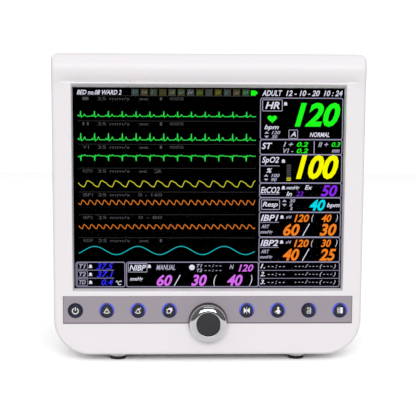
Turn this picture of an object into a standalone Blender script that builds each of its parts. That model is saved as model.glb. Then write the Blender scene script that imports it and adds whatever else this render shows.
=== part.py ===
"""A bedside patient monitor with a 12-inch display, eight keys and a push knob.

Frame: X runs to the viewer's right, Y from the face to the rear, and Z up. The origin lies
on the surface that the monitor stands on, below the middle of its box. Lengths are metres.
"""
import math

import bmesh
import bpy
from mathutils import Matrix

MM = 0.001

# ---------------------------------------------------------------- driving dimensions
GAP = 0.3 * MM              # clearance between pieces that touch
LOOSE = 0.4 * MM            # clearance of trays and lips inside a wall
WALL = 2.8 * MM             # wall of the rear housing

SCREEN_WIDTH = 246.0 * MM   # visible area of the display
SCREEN_HEIGHT = 184.5 * MM
SCREEN_RECESS = 10.0 * MM   # display behind the case's face
SIDE_FRAME = 18.25 * MM     # display edge to the side of the case
TOP_FRAME = 30.15 * MM      # display edge to the top of the case
BOTTOM_FRAME = 60.75 * MM   # display edge to the bottom of the case
CASE_DEPTH = 150.0 * MM     # face to rear wall
BEZEL_DEPTH = 34.0 * MM     # face to the seam
BEZEL_WALL = 3.0 * MM
BOTTOM_RADIUS = 33.0 * MM   # lower corners of the case
TOP_RADIUS = 5.5 * MM       # upper corners of the case
CORNER_STEPS = 8

ROLL_HEIGHT = 24.4 * MM     # rounded brow across the top of the bezel
ROLL_RADIUS = 16.0 * MM
ROLL_RISE = 10.0 * MM       # crease to the brow's most forward line
ROLL_START = 1.0 * MM       # crease behind the face
CREASE_LAND = 0.6 * MM      # narrow land under the crease
FACE_FILLET = 3.0 * MM      # lower edge of the face
REVEAL_SIDE = 1.5 * MM      # slope beside the display, seen from the front
REVEAL_BOTTOM = 2.4 * MM

STRIP_MARGIN = 9.6 * MM     # control strip beyond the display at each side
STRIP_DROP = 4.75 * MM      # display edge to the strip's upper edge
STRIP_HEIGHT = 26.2 * MM
STRIP_SINK = 0.3 * MM
STRIP_THICKNESS = 2.2 * MM
STRIP_FLOOR = 2.8 * MM      # bezel wall behind the strip

KEY_RADIUS = 5.2 * MM
KEY_TRAVEL = 1.0 * MM
KEY_FLANGE = 1.0 * MM       # flange beyond the key's side
KEY_FLANGE_THICKNESS = 1.2 * MM
KEY_PROUD = 0.9 * MM
KEY_END_MARGIN = 11.1 * MM  # outer key to the strip's end
KEY_KNOB_SPACE = 18.3 * MM  # knob's rim to the inner key's centre
KEY_ROW_DROP = 14.0 * MM    # strip's upper edge to the row of keys
KEYS_PER_SIDE = 4
HALO_WIDTH = 1.1 * MM       # lit ring around a key
GUIDE_THICKNESS = 2.0 * MM
GUIDE_MARGIN = 8.0 * MM
SWITCH_HEIGHT = 2.8 * MM
SWITCH_SIZE = 6.0 * MM
BOARD_THICKNESS = 1.6 * MM

KNOB_RADIUS = 17.2 * MM
KNOB_FRONT_RADIUS = 14.5 * MM
KNOB_CAP_RADIUS = 11.0 * MM
KNOB_CAP_THICKNESS = 2.0 * MM
KNOB_PROUD = 12.0 * MM
KNOB_RISE = 1.5 * MM        # knob's axis above the strip's lower edge
KNOB_PUSH = 0.8 * MM
SHAFT_RADIUS = 3.0 * MM
BUSHING_RADIUS = 4.5 * MM
ENCODER_SIZE = 15.0 * MM
ENCODER_DEPTH = 5.7 * MM
PLUNGER_LENGTH = 2.6 * MM

WINDOW_THICKNESS = 2.0 * MM
WINDOW_MARGIN = 3.0 * MM    # window under the bezel's lip
MODULE_MARGIN = 5.5 * MM    # display module beyond the visible area
MODULE_THICKNESS = 10.0 * MM
SHEET = 1.5 * MM            # sheet metal
BRACKET_BAND = 18.0 * MM
CHASSIS_SETBACK = 48.0 * MM  # face to the chassis plate

SEAM_STEP = 2.0 * MM        # rear housing inside the bezel's outline
SEAM_STEP_TOP = 4.0 * MM
BEZEL_TOP_WALL = 5.2 * MM
LIP_LENGTH = 4.0 * MM
TAIL_STATIONS = ((32.0 * MM, 0.0), (12.0 * MM, 5.0 * MM), (4.0 * MM, 10.0 * MM), (0.0, 15.0 * MM))
REAR_PAD_SIZE = 90.0 * MM
REAR_PAD_THICKNESS = 6.0 * MM
REAR_PAD_PITCH = 75.0 * MM
REAR_PAD_RISE = 10.0 * MM    # pad's centre above the display's centre

FOOT_HEIGHT = 7.5 * MM
FOOT_BOSS_RADIUS = 8.75 * MM
FOOT_BOSS_HEIGHT = 3.0 * MM
FOOT_PAD_RADIUS = 7.3 * MM
FOOT_OFFSET = 83.5 * MM     # foot's centre from the middle
FRONT_FOOT_SETBACK = 19.75 * MM
REAR_FOOT_SETBACK = 112.0 * MM

HANDLE_WIDTH = 116.0 * MM
HANDLE_POCKET_DEPTH = 34.0 * MM
HANDLE_POCKET_LENGTH = 50.0 * MM
HANDLE_SETBACK = 92.0 * MM  # face to the middle of the grip
GRIP_WIDTH = 20.0 * MM
GRIP_THICKNESS = 12.0 * MM
GRIP_LEG = 12.0 * MM

BAY_SETBACK = 60.0 * MM     # face to the connector opening
BAY_LENGTH = 52.0 * MM
BAY_HEIGHT = 150.0 * MM
BAY_DROP = 20.0 * MM        # middle of the opening below the display's centre
PANEL_OVERLAP = 5.0 * MM
PANEL_THICKNESS = 2.0 * MM
SOCKET_PITCH = 35.0 * MM
SOCKET_SPREAD = 26.0 * MM
SOCKET_LENGTH = 17.0 * MM
SOCKET_POCKET = 9.0 * MM
SOCKET_FLANGE = 1.5 * MM

SCREW_RADIUS = 1.5 * MM
SCREW_HEAD_RADIUS = 3.4 * MM
SCREW_HEAD_HEIGHT = 2.2 * MM
SCREW_LENGTH = 16.0 * MM
SCREW_BOSS_RADIUS = 6.0 * MM
SCREW_INSET = 33.0 * MM     # case side to the screw
SCREW_TOP_INSET = 34.0 * MM
SCREW_BOTTOM_INSET = 35.0 * MM

BATTERY_WIDTH = 74.0 * MM
BATTERY_GAP = 26.0 * MM     # middle of the case to the battery
DOOR_RIM = 8.0 * MM
DOOR_THICKNESS = 1.3 * MM
DOOR_SETBACK = 50.0 * MM
DOOR_LENGTH = 50.0 * MM
SPEAKER_SETBACK = 88.0 * MM
SPEAKER_DROP = 40.0 * MM
INLET_DROP = 105.0 * MM     # display's centre to the mains inlet
INLET_OFFSET = 62.0 * MM
INLET_SIZE = (29.0 * MM, 22.0 * MM)
NETWORK_SIZE = (15.0 * MM, 13.0 * MM)
NETWORK_OFFSET = -30.0 * MM
STUD_X = 92.0 * MM
STUD_RADIUS = 3.0 * MM

# ---------------------------------------------------------------- derived planes
TOTAL_DEPTH = KNOB_PROUD + CASE_DEPTH + REAR_PAD_THICKNESS
CASE_HALF = SCREEN_WIDTH / 2 + SIDE_FRAME
Y_FACE = -TOTAL_DEPTH / 2 + KNOB_PROUD
Y_SCREEN = Y_FACE + SCREEN_RECESS
Y_SEAM = Y_FACE + BEZEL_DEPTH
Y_REAR = Y_FACE + CASE_DEPTH
Z_BOTTOM = FOOT_HEIGHT
Z_SCREEN = Z_BOTTOM + BOTTOM_FRAME + SCREEN_HEIGHT / 2
Z_TOP = Z_SCREEN + SCREEN_HEIGHT / 2 + TOP_FRAME
Z_CREASE = Z_TOP - ROLL_HEIGHT

Y_STRIP = Y_FACE + STRIP_SINK
Y_STRIP_BACK = Y_STRIP + STRIP_THICKNESS
Y_FLOOR = Y_STRIP_BACK + GAP
Y_FLOOR_BACK = Y_FLOOR + STRIP_FLOOR
Y_GUIDE = Y_FLOOR_BACK + GAP
Y_GUIDE_BACK = Y_GUIDE + GUIDE_THICKNESS
Y_FLANGE = Y_GUIDE_BACK + GAP
Y_SWITCH = Y_FLANGE + KEY_FLANGE_THICKNESS + KEY_TRAVEL + GAP
Y_BOARD = Y_SWITCH + SWITCH_HEIGHT

STRIP_HALF = SCREEN_WIDTH / 2 + STRIP_MARGIN
Z_STRIP_TOP = Z_SCREEN - SCREEN_HEIGHT / 2 - STRIP_DROP
Z_STRIP_BOTTOM = Z_STRIP_TOP - STRIP_HEIGHT
Z_KEYS = Z_STRIP_TOP - KEY_ROW_DROP
Z_KNOB = Z_STRIP_BOTTOM + KNOB_RISE
KEY_INNER = KNOB_RADIUS + KEY_KNOB_SPACE
KEY_OUTER = STRIP_HALF - KEY_END_MARGIN
KEY_PITCH = (KEY_OUTER - KEY_INNER) / (KEYS_PER_SIDE - 1)
HALO_BORE = KEY_RADIUS + GAP
HALO_RADIUS = HALO_BORE + HALO_WIDTH
BOARD_BOTTOM = Z_KNOB - ENCODER_SIZE / 2 - 2.0 * MM
BAND_BOTTOM = BOARD_BOTTOM - 1.0 * MM   # lower end of the space behind the keys

HOUSING_SIDE = SEAM_STEP + WALL         # housing's inner face from the case's side
HOUSING_TOP = SEAM_STEP_TOP + WALL
INNER_HALF = CASE_HALF - HOUSING_SIDE
Z_INNER_FLOOR = Z_BOTTOM + HOUSING_SIDE
Y_CHASSIS = Y_FACE + CHASSIS_SETBACK
Y_CHASSIS_BACK = Y_CHASSIS + SHEET

PANEL_X = -INNER_HALF + GAP
BATTERY_DOOR = (-BATTERY_GAP - BATTERY_WIDTH, -BATTERY_GAP)
Z_SPEAKER = Z_SCREEN - SPEAKER_DROP
INLET_CUT = (INLET_OFFSET, Z_SCREEN - INLET_DROP, *INLET_SIZE)
NETWORK_CUT = (NETWORK_OFFSET, Z_SCREEN - INLET_DROP, *NETWORK_SIZE)

KEY_NAMES = (
    "power_key", "alarm_key", "alarm_silence_key", "page_key",
    "freeze_key", "cuff_key", "lock_key", "record_key",
)
SOCKETS = (
    # name, column, row, outer radius, pocket radius
    ("ecg_socket", -0.5, 1.5, 9.5 * MM, 7.5 * MM),
    ("spo2_socket", 0.5, 1.5, 8.0 * MM, 6.0 * MM),
    ("nibp_fitting", -0.5, 0.5, 6.5 * MM, 2.0 * MM),
    ("co2_socket", 0.5, 0.5, 8.0 * MM, 6.0 * MM),
    ("temp1_socket", -0.5, -0.5, 5.5 * MM, 3.4 * MM),
    ("temp2_socket", 0.5, -0.5, 5.5 * MM, 3.4 * MM),
    ("ibp1_socket", -0.5, -1.5, 7.5 * MM, 5.5 * MM),
    ("ibp2_socket", 0.5, -1.5, 7.5 * MM, 5.5 * MM),
)


# ---------------------------------------------------------------- mesh tools
class Shape:
    """Closed bodies gathered in one mesh, to become a piece or a cutting tool."""

    def __init__(self):
        self.mesh = bmesh.new()

    def _bridge(self, near, far):
        for i in range(max(len(near), len(far))):
            j = i + 1
            corners = (near[i % len(near)], far[i % len(far)], far[j % len(far)], near[j % len(near)])
            self.mesh.faces.new(tuple(dict.fromkeys(corners)))

    def loft(self, loops):
        """Join loops of 3-D points, all of one length, and close both ends."""
        rings = [[self.mesh.verts.new(point) for point in loop] for loop in loops]
        for near, far in zip(rings, rings[1:]):
            self._bridge(near, far)
        self.mesh.faces.new(rings[0])
        self.mesh.faces.new(rings[-1])
        return self

    def prism(self, outline, axis, start, end):
        """Extrude an outline along axis X, Y or Z. Its points hold the other two, in order."""
        return self.loft([[on_axis(axis, at, point) for point in outline] for at in (start, end)])

    def box(self, low, high):
        """A box between two opposite corners."""
        outline = ((low[0], low[1]), (high[0], low[1]), (high[0], high[1]), (low[0], high[1]))
        return self.prism(outline, "Z", low[2], high[2])

    def lathe(self, profile, axis, centre, segments=18):
        """Turn (radius, distance) points about an axis through centre, its other two values."""
        rings = []
        for radius, at in profile:
            count = segments if radius > 0 else 1
            angles = [2 * math.pi * i / count for i in range(count)]
            ring = [(centre[0] + radius * math.cos(a), centre[1] + radius * math.sin(a)) for a in angles]
            rings.append([self.mesh.verts.new(on_axis(axis, at, point)) for point in ring])
        for near, far in zip(rings, rings[1:]):
            self._bridge(near, far)
        for ring in (rings[0], rings[-1]):
            if len(ring) > 1:
                self.mesh.faces.new(ring)
        return self

    def rod(self, axis, centre, radius, start, end, segments=18):
        """A plain cylinder."""
        return self.lathe(((radius, start), (radius, end)), axis, centre, segments)

    def make(self, name, finish=None):
        """Turn the bodies into an object of the scene."""
        bmesh.ops.recalc_face_normals(self.mesh, faces=self.mesh.faces)
        data = bpy.data.meshes.new(name)
        self.mesh.to_mesh(data)
        self.mesh.free()
        made = bpy.data.objects.new(name, data)
        bpy.context.scene.collection.objects.link(made)
        if finish is not None:
            data.materials.append(finish)
        return made


def on_axis(axis, at, point):
    """Put a distance along an axis together with the two coordinates across it."""
    first, second = point
    return {"X": (at, first, second), "Y": (first, at, second), "Z": (first, second, at)}[axis]


def combine(piece, shape, operation):
    """Apply a Boolean with a shape to a piece."""
    tool = shape.make("tool")
    modifier = piece.modifiers.new("shape", "BOOLEAN")
    modifier.operation = operation
    modifier.solver = "EXACT"
    modifier.object = tool
    state = bpy.context.evaluated_depsgraph_get()
    result = bpy.data.meshes.new_from_object(piece.evaluated_get(state))
    piece.modifiers.clear()
    piece.data = result
    bpy.data.objects.remove(tool)


def cut(piece, shape):
    """Take a shape away from a piece."""
    combine(piece, shape, "DIFFERENCE")


def add(piece, shape):
    """Fuse a shape to a piece."""
    combine(piece, shape, "UNION")


def round_off(piece, angle=35):
    """Shade the round surfaces smooth and keep the edges sharp."""
    piece.data.shade_smooth()
    piece.data.set_sharp_from_angle(angle=math.radians(angle))
    return piece


def set_origin(piece, place):
    """Move a piece's origin onto its joint, with the piece left where it is."""
    piece.data.transform(Matrix.Translation([-value for value in place]))
    piece.location = place


def finish(name, color, roughness, metallic=0.0):
    """A plain Principled material."""
    made = bpy.data.materials.new(name)
    made.use_nodes = True
    shader = made.node_tree.nodes["Principled BSDF"]
    shader.inputs["Base Color"].default_value = (*color, 1.0)
    shader.inputs["Roughness"].default_value = roughness
    shader.inputs["Metallic"].default_value = metallic
    return made


def case_outline(inset=0.0, top_inset=None):
    """The case's front outline as (x, z) points, drawn inwards by an inset."""
    top_inset = inset if top_inset is None else top_inset
    half = CASE_HALF - inset
    low, high = Z_BOTTOM + inset, Z_TOP - top_inset
    lower = max(BOTTOM_RADIUS - inset, 1.0 * MM)
    upper = max(TOP_RADIUS - inset, 1.0 * MM)
    corners = (
        (lower - half, low + lower, lower, 180),
        (half - lower, low + lower, lower, 270),
        (half - upper, high - upper, upper, 0),
        (upper - half, high - upper, upper, 90),
    )
    points = []
    for x, z, radius, start in corners:
        for step in range(CORNER_STEPS + 1):
            angle = math.radians(start + 90 * step / CORNER_STEPS)
            points.append((x + radius * math.cos(angle), z + radius * math.sin(angle)))
    return points


def key_places():
    """Key names with their distance from the middle, left to right."""
    offsets = [KEY_INNER + KEY_PITCH * i for i in range(KEYS_PER_SIDE)]
    return list(zip(KEY_NAMES, [-x for x in reversed(offsets)] + offsets))


# ---------------------------------------------------------------- front
def face_profile():
    """The bezel's front seen from the side, as (y, z) points from the rear bottom round."""
    points = [(Y_SEAM, Z_BOTTOM), (Y_FACE + FACE_FILLET, Z_BOTTOM)]
    for step in range(1, 5):
        angle = math.radians(90 * step / 4)
        points.append((
            Y_FACE + FACE_FILLET * (1 - math.sin(angle)),
            Z_BOTTOM + FACE_FILLET * (1 - math.cos(angle)),
        ))
    points.append((Y_FACE, Z_CREASE - 1.5 * MM))
    # The brow is one arc, whose lower end meets the crease behind the face.
    drop = math.sqrt(ROLL_RADIUS ** 2 - ROLL_RISE ** 2)
    centre_y = Y_FACE + ROLL_START + drop
    centre_z = Z_CREASE + ROLL_RISE
    first = math.asin(-ROLL_RISE / ROLL_RADIUS)
    last = math.asin((Z_TOP - centre_z) / ROLL_RADIUS)
    for step in range(13):
        angle = first + (last - first) * step / 12
        points.append((centre_y - ROLL_RADIUS * math.cos(angle), centre_z + ROLL_RADIUS * math.sin(angle)))
    points[-1] = (points[-1][0], Z_TOP)
    points.append((Y_SEAM, Z_TOP))
    return points


def foot_boss(shape, x, y, casing_bottom):
    """The shallow round boss that carries a rubber foot."""
    low = FOOT_HEIGHT - FOOT_BOSS_HEIGHT
    profile = (
        (0, low), (FOOT_PAD_RADIUS + 0.5 * MM, low), (FOOT_BOSS_RADIUS, low + 1.5 * MM),
        (FOOT_BOSS_RADIUS, casing_bottom + 1.0 * MM), (0, casing_bottom + 1.0 * MM),
    )
    shape.lathe(profile, "Z", (x, y), 16)


def make_bezel(casing):
    """The front half of the case, with the window, the strip's pocket and its holes."""
    bezel = Shape().prism(case_outline(), "Y", Y_FACE - 10 * MM, Y_SEAM).make("front_bezel", casing)
    combine(bezel, Shape().prism(face_profile(), "X", -CASE_HALF - 5 * MM, CASE_HALF + 5 * MM), "INTERSECT")

    lip_back = Y_SCREEN - GAP
    behind = Y_SEAM + 5 * MM
    inner = case_outline(BEZEL_WALL, BEZEL_TOP_WALL)
    cut(bezel, Shape().prism(inner, "Y", lip_back, behind))

    # Cored spaces behind the face: at both sides, under the brow and in the apron.
    frame_half = SCREEN_WIDTH / 2 + WINDOW_MARGIN + 3 * MM
    side_half = CASE_HALF - BEZEL_WALL
    coring = Y_FACE + BEZEL_WALL
    cores = Shape()
    for low, high in ((-side_half, -frame_half), (frame_half, side_half)):
        cores.box((low, coring, Z_STRIP_TOP + 6 * MM), (high, lip_back + 1 * MM, Z_CREASE - 4 * MM))
    cores.box(
        (-side_half + TOP_RADIUS, coring, Z_CREASE + 4 * MM),
        (side_half - TOP_RADIUS, lip_back + 1 * MM, Z_TOP - BEZEL_TOP_WALL),
    )
    apron_half = CASE_HALF - BOTTOM_RADIUS + 10 * MM
    cores.box((-apron_half, coring, Z_BOTTOM + 6 * MM), (apron_half, lip_back + 1 * MM, BAND_BOTTOM - 2 * MM))
    cut(bezel, cores)
    key_space = Shape().box(
        (-STRIP_HALF - 1 * MM, Y_FLOOR_BACK, BAND_BOTTOM),
        (STRIP_HALF + 1 * MM, lip_back + 1 * MM, Z_STRIP_TOP - 2 * MM),
    )
    cut(bezel, key_space)

    # The window: its slopes start at the display's edge and open towards the face.
    rise = (Z_CREASE - CREASE_LAND - Z_SCREEN - SCREEN_HEIGHT / 2) / (SCREEN_RECESS - ROLL_START)
    reach = SCREEN_RECESS + 0.5 * MM
    top_open = rise * reach
    loops = []
    for depth, side, low, high in (
        (-1 * MM, 0, 0, 0), (0, 0, 0, 0),
        (reach, REVEAL_SIDE, REVEAL_BOTTOM, top_open),
    ):
        half, bottom = SCREEN_WIDTH / 2 + side, Z_SCREEN - SCREEN_HEIGHT / 2 - low
        top = Z_SCREEN + SCREEN_HEIGHT / 2 + high
        y = Y_SCREEN - depth
        loops.append([(-half, y, bottom), (half, y, bottom), (half, y, top), (-half, y, top)])
    cut(bezel, Shape().loft(loops))

    # The pocket for the control strip and the holes through its floor.
    pocket = Shape().box(
        (-STRIP_HALF - GAP, Y_FACE - 5 * MM, Z_STRIP_BOTTOM - GAP),
        (STRIP_HALF + GAP, Y_FLOOR, Z_STRIP_TOP + GAP),
    )
    cut(bezel, pocket)
    holes = Shape()
    for _, x in key_places():
        holes.rod("Y", (x, Z_KEYS), HALO_RADIUS + 2 * GAP, Y_FACE - 2 * MM, Y_FLOOR_BACK + 1 * MM, 20)
    holes.rod("Y", (0, Z_KNOB), BUSHING_RADIUS + 0.7 * MM, Y_FACE - 2 * MM, Y_FLOOR_BACK + 4 * MM)
    cut(bezel, holes)

    # Posts for the key board, and bosses for the front feet.
    posts = Shape()
    for x in (-0.76 * KEY_OUTER, -0.4 * KEY_OUTER, 0.4 * KEY_OUTER, 0.76 * KEY_OUTER):
        posts.rod("Y", (x, BOARD_BOTTOM + 3 * MM), 2.0 * MM, Y_FLOOR_BACK - 1 * MM, Y_BOARD - GAP, 12)
    for x in (-FOOT_OFFSET, FOOT_OFFSET):
        foot_boss(posts, x, Y_FACE + FRONT_FOOT_SETBACK, Z_BOTTOM)
    add(bezel, posts)
    return round_off(bezel)


def make_strip(mauve):
    """The flat control strip with a hole for each lit ring and a notch for the knob."""
    strip = Shape().box(
        (-STRIP_HALF, Y_STRIP, Z_STRIP_BOTTOM), (STRIP_HALF, Y_STRIP_BACK, Z_STRIP_TOP)
    ).make("control_strip", mauve)
    holes = Shape()
    for _, x in key_places():
        holes.rod("Y", (x, Z_KEYS), HALO_RADIUS + GAP, Y_FACE - 2 * MM, Y_FLOOR, 20)
    holes.rod("Y", (0, Z_KNOB), BUSHING_RADIUS + 0.7 * MM, Y_FACE - 2 * MM, Y_FLOOR)
    cut(strip, holes)
    return round_off(strip)


def make_light_guides(clear):
    """Two bars that carry light to the rings round the keys."""
    start = KEY_INNER - GUIDE_MARGIN
    end = KEY_OUTER + GUIDE_MARGIN
    for name, side in (("left_light_guide", -1), ("right_light_guide", 1)):
        low, high = sorted((side * start, side * end))
        bar = Shape().box(
            (low, Y_GUIDE, Z_KEYS - GUIDE_MARGIN), (high, Y_GUIDE_BACK, Z_KEYS + GUIDE_MARGIN)
        ).make(name, clear)
        rings, bores = Shape(), Shape()
        for _, x in key_places():
            if x * side > 0:
                rings.rod("Y", (x, Z_KEYS), HALO_RADIUS, Y_FACE, Y_GUIDE + 1 * MM, 20)
                bores.rod("Y", (x, Z_KEYS), HALO_BORE, Y_FACE - 1 * MM, Y_GUIDE_BACK + 1 * MM, 20)
        add(bar, rings)
        cut(bar, bores)
        round_off(bar)


def make_keys(dark):
    """Eight domed keys, each held behind the light guide by its flange."""
    flange = KEY_RADIUS + KEY_FLANGE
    back = Y_FLANGE + KEY_FLANGE_THICKNESS
    profile = (
        (0, Y_FACE - KEY_PROUD), (0.55 * KEY_RADIUS, Y_FACE - 0.8 * KEY_PROUD),
        (0.88 * KEY_RADIUS, Y_FACE - 0.35 * KEY_PROUD), (KEY_RADIUS, Y_FACE + 0.3 * MM),
        (KEY_RADIUS, Y_FLANGE), (flange, Y_FLANGE), (flange, back), (0, back),
    )
    for name, x in key_places():
        key = Shape().lathe(profile, "Y", (x, Z_KEYS), 16).make(name, dark)
        set_origin(key, (x, Y_FLANGE, Z_KEYS))
        round_off(key)


def make_knob(chrome, black, steel, grey):
    """The push knob: chrome skirt, black cap, shaft, and the encoder that reads it."""
    centre = (0, Z_KNOB)
    front = Y_FACE - KNOB_PROUD
    base = Y_FACE - KNOB_PUSH - LOOSE
    seat = front + KNOB_CAP_THICKNESS
    bore_end = seat + 1.5 * MM
    rim = KNOB_CAP_RADIUS + GAP
    profile = [
        (0, bore_end), (SHAFT_RADIUS + GAP, bore_end), (SHAFT_RADIUS + GAP, base),
        (KNOB_RADIUS - 0.6 * MM, base), (KNOB_RADIUS, base - 0.6 * MM),
    ]
    flank = (base - 0.6 * MM) - (front + 1.2 * MM)
    for step in range(1, 7):
        share = step / 6
        bulge = math.sin(share * math.pi / 2)
        radius = KNOB_RADIUS - (KNOB_RADIUS - KNOB_FRONT_RADIUS) * (1 - math.cos(share * math.pi / 2))
        profile.append((radius, base - 0.6 * MM - flank * bulge))
    profile += [
        (KNOB_FRONT_RADIUS - 1.2 * MM, front), (rim, front + 0.3 * MM), (rim, seat), (0, seat),
    ]
    body = Shape().lathe(profile, "Y", centre, 32).make("knob_body", chrome)
    cap_front = front + 0.2 * MM
    cap_profile = (
        (0, cap_front), (KNOB_CAP_RADIUS - 1.0 * MM, cap_front + 0.1 * MM),
        (KNOB_CAP_RADIUS, cap_front + 0.5 * MM), (KNOB_CAP_RADIUS, seat - GAP), (0, seat - GAP),
    )
    cap = Shape().lathe(cap_profile, "Y", centre, 24).make("knob_cap", black)

    encoder_back = Y_BOARD - GAP
    encoder_front = encoder_back - ENCODER_DEPTH
    half = ENCODER_SIZE / 2
    encoder = Shape().box(
        (-half, encoder_front, Z_KNOB - half), (half, encoder_back, Z_KNOB + half)
    ).make("encoder_body", grey)
    add(encoder, Shape().rod("Y", centre, BUSHING_RADIUS, Y_FACE + 1 * MM, encoder_front + 1 * MM))
    cut(encoder, Shape().rod("Y", centre, SHAFT_RADIUS + GAP, Y_FACE - 1 * MM, encoder_back + 1 * MM))
    round_off(encoder)

    plunger_front = encoder_back - PLUNGER_LENGTH - KNOB_PUSH - LOOSE
    plunger = Shape().rod(
        "Y", centre, SHAFT_RADIUS, plunger_front, plunger_front + PLUNGER_LENGTH, 20
    ).make("encoder_plunger", grey)
    shaft = Shape().rod(
        "Y", centre, SHAFT_RADIUS, bore_end + GAP, plunger_front - GAP, 20
    ).make("encoder_shaft", steel)
    for piece in (body, cap, plunger, shaft):
        set_origin(piece, (0, Y_FACE, Z_KNOB))
        round_off(piece)


def make_key_board(green):
    """The circuit board behind the keys, with one switch under each."""
    inner_end = KEY_INNER - GUIDE_MARGIN
    half = KEY_OUTER + 0.9 * GUIDE_MARGIN
    top = Z_STRIP_TOP - 3 * MM
    board = Shape().box(
        (-half, Y_BOARD, BOARD_BOTTOM), (half, Y_BOARD + BOARD_THICKNESS, top)
    ).make("key_board", green)
    switches = Shape()
    reach = SWITCH_SIZE / 2
    for _, x in key_places():
        switches.box(
            (x - reach, Y_SWITCH + 1 * MM, Z_KEYS - reach),
            (x + reach, Y_BOARD + 0.5 * MM, Z_KEYS + reach),
        )
    switches.box((-inner_end, Y_BOARD + BOARD_THICKNESS - 0.5 * MM, top - 12 * MM),
                 (0, Y_BOARD + BOARD_THICKNESS + 5 * MM, top - 6 * MM))
    add(board, switches)
    buttons = Shape()
    for _, x in key_places():
        buttons.rod("Y", (x, Z_KEYS), 1.6 * MM, Y_SWITCH, Y_SWITCH + 1.5 * MM, 12)
    add(board, buttons)


def make_display(glass, black, metal, green):
    """The clear window, the display module, its bracket and its backlight board."""
    half, reach = SCREEN_WIDTH / 2, SCREEN_HEIGHT / 2
    window_back = Y_SCREEN + WINDOW_THICKNESS
    Shape().box(
        (-half - WINDOW_MARGIN, Y_SCREEN, Z_SCREEN - reach - WINDOW_MARGIN),
        (half + WINDOW_MARGIN, window_back, Z_SCREEN + reach + WINDOW_MARGIN),
    ).make("display_window", glass)
    front, back = window_back + GAP, window_back + GAP + MODULE_THICKNESS
    Shape().box(
        (-half - MODULE_MARGIN, front, Z_SCREEN - reach - MODULE_MARGIN),
        (half + MODULE_MARGIN, back, Z_SCREEN + reach + MODULE_MARGIN),
    ).make("display_module", black)

    sheet, side = back + GAP, CASE_HALF - BEZEL_WALL - LOOSE
    height = reach + MODULE_MARGIN
    bracket = Shape().box(
        (-side, sheet, Z_SCREEN - height), (side, sheet + SHEET, Z_SCREEN + height)
    ).make("display_bracket", metal)
    opening = side - BRACKET_BAND
    cut(bracket, Shape().box(
        (-opening, sheet - 1 * MM, Z_SCREEN - height + BRACKET_BAND),
        (opening, sheet + SHEET + 1 * MM, Z_SCREEN + height - BRACKET_BAND),
    ))

    board = sheet + SHEET + GAP
    centre = side - BRACKET_BAND / 2
    inverter = Shape().box(
        (centre - 7 * MM, board, Z_SCREEN - 60 * MM),
        (centre + 7 * MM, board + BOARD_THICKNESS, Z_SCREEN + 60 * MM),
    ).make("backlight_board", green)
    parts = Shape()
    for z in (-40 * MM, 0, 35 * MM):
        parts.box((centre - 5 * MM, board + 1 * MM, Z_SCREEN + z - 8 * MM),
                  (centre + 5 * MM, board + 7 * MM, Z_SCREEN + z + 8 * MM))
    add(inverter, parts)


# ---------------------------------------------------------------- rear
def tail_loops(start, extra=0.0):
    """Outlines of the rear housing from a start plane to the rear, drawn in by a wall."""
    loops = [[(x, start, z) for x, z in case_outline(SEAM_STEP + extra, SEAM_STEP_TOP + extra)]]
    for back, inset in TAIL_STATIONS:
        y = Y_REAR - max(back, extra)
        outline = case_outline(SEAM_STEP + extra + inset, SEAM_STEP_TOP + extra + inset)
        loops.append([(x, y, z) for x, z in outline])
    return loops


def screw_places():
    """The four case screws as (x, z)."""
    x = CASE_HALF - SCREW_INSET
    heights = (Z_BOTTOM + SCREW_BOTTOM_INSET, Z_TOP - SCREW_TOP_INSET)
    return [(side * x, z) for side in (-1, 1) for z in heights]


def handle_box(grow=0.0, above=0.0):
    """Corners of the pocket under the carrying grip."""
    top = Z_TOP - SEAM_STEP_TOP
    middle = Y_FACE + HANDLE_SETBACK
    half, reach = HANDLE_WIDTH / 2 + grow, HANDLE_POCKET_LENGTH / 2 + grow
    return (
        (-half, middle - reach, top - HANDLE_POCKET_DEPTH - grow),
        (half, middle + reach, top - (0.5 * MM if grow else 0) + above),
    )


def bay_box(shape, grow, low_x, high_x):
    """A box through the left side where the connectors are."""
    middle = Z_SCREEN - BAY_DROP
    shape.box(
        (low_x, Y_FACE + BAY_SETBACK - grow, middle - BAY_HEIGHT / 2 - grow),
        (high_x, Y_FACE + BAY_SETBACK + BAY_LENGTH + grow, middle + BAY_HEIGHT / 2 + grow),
    )


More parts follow.
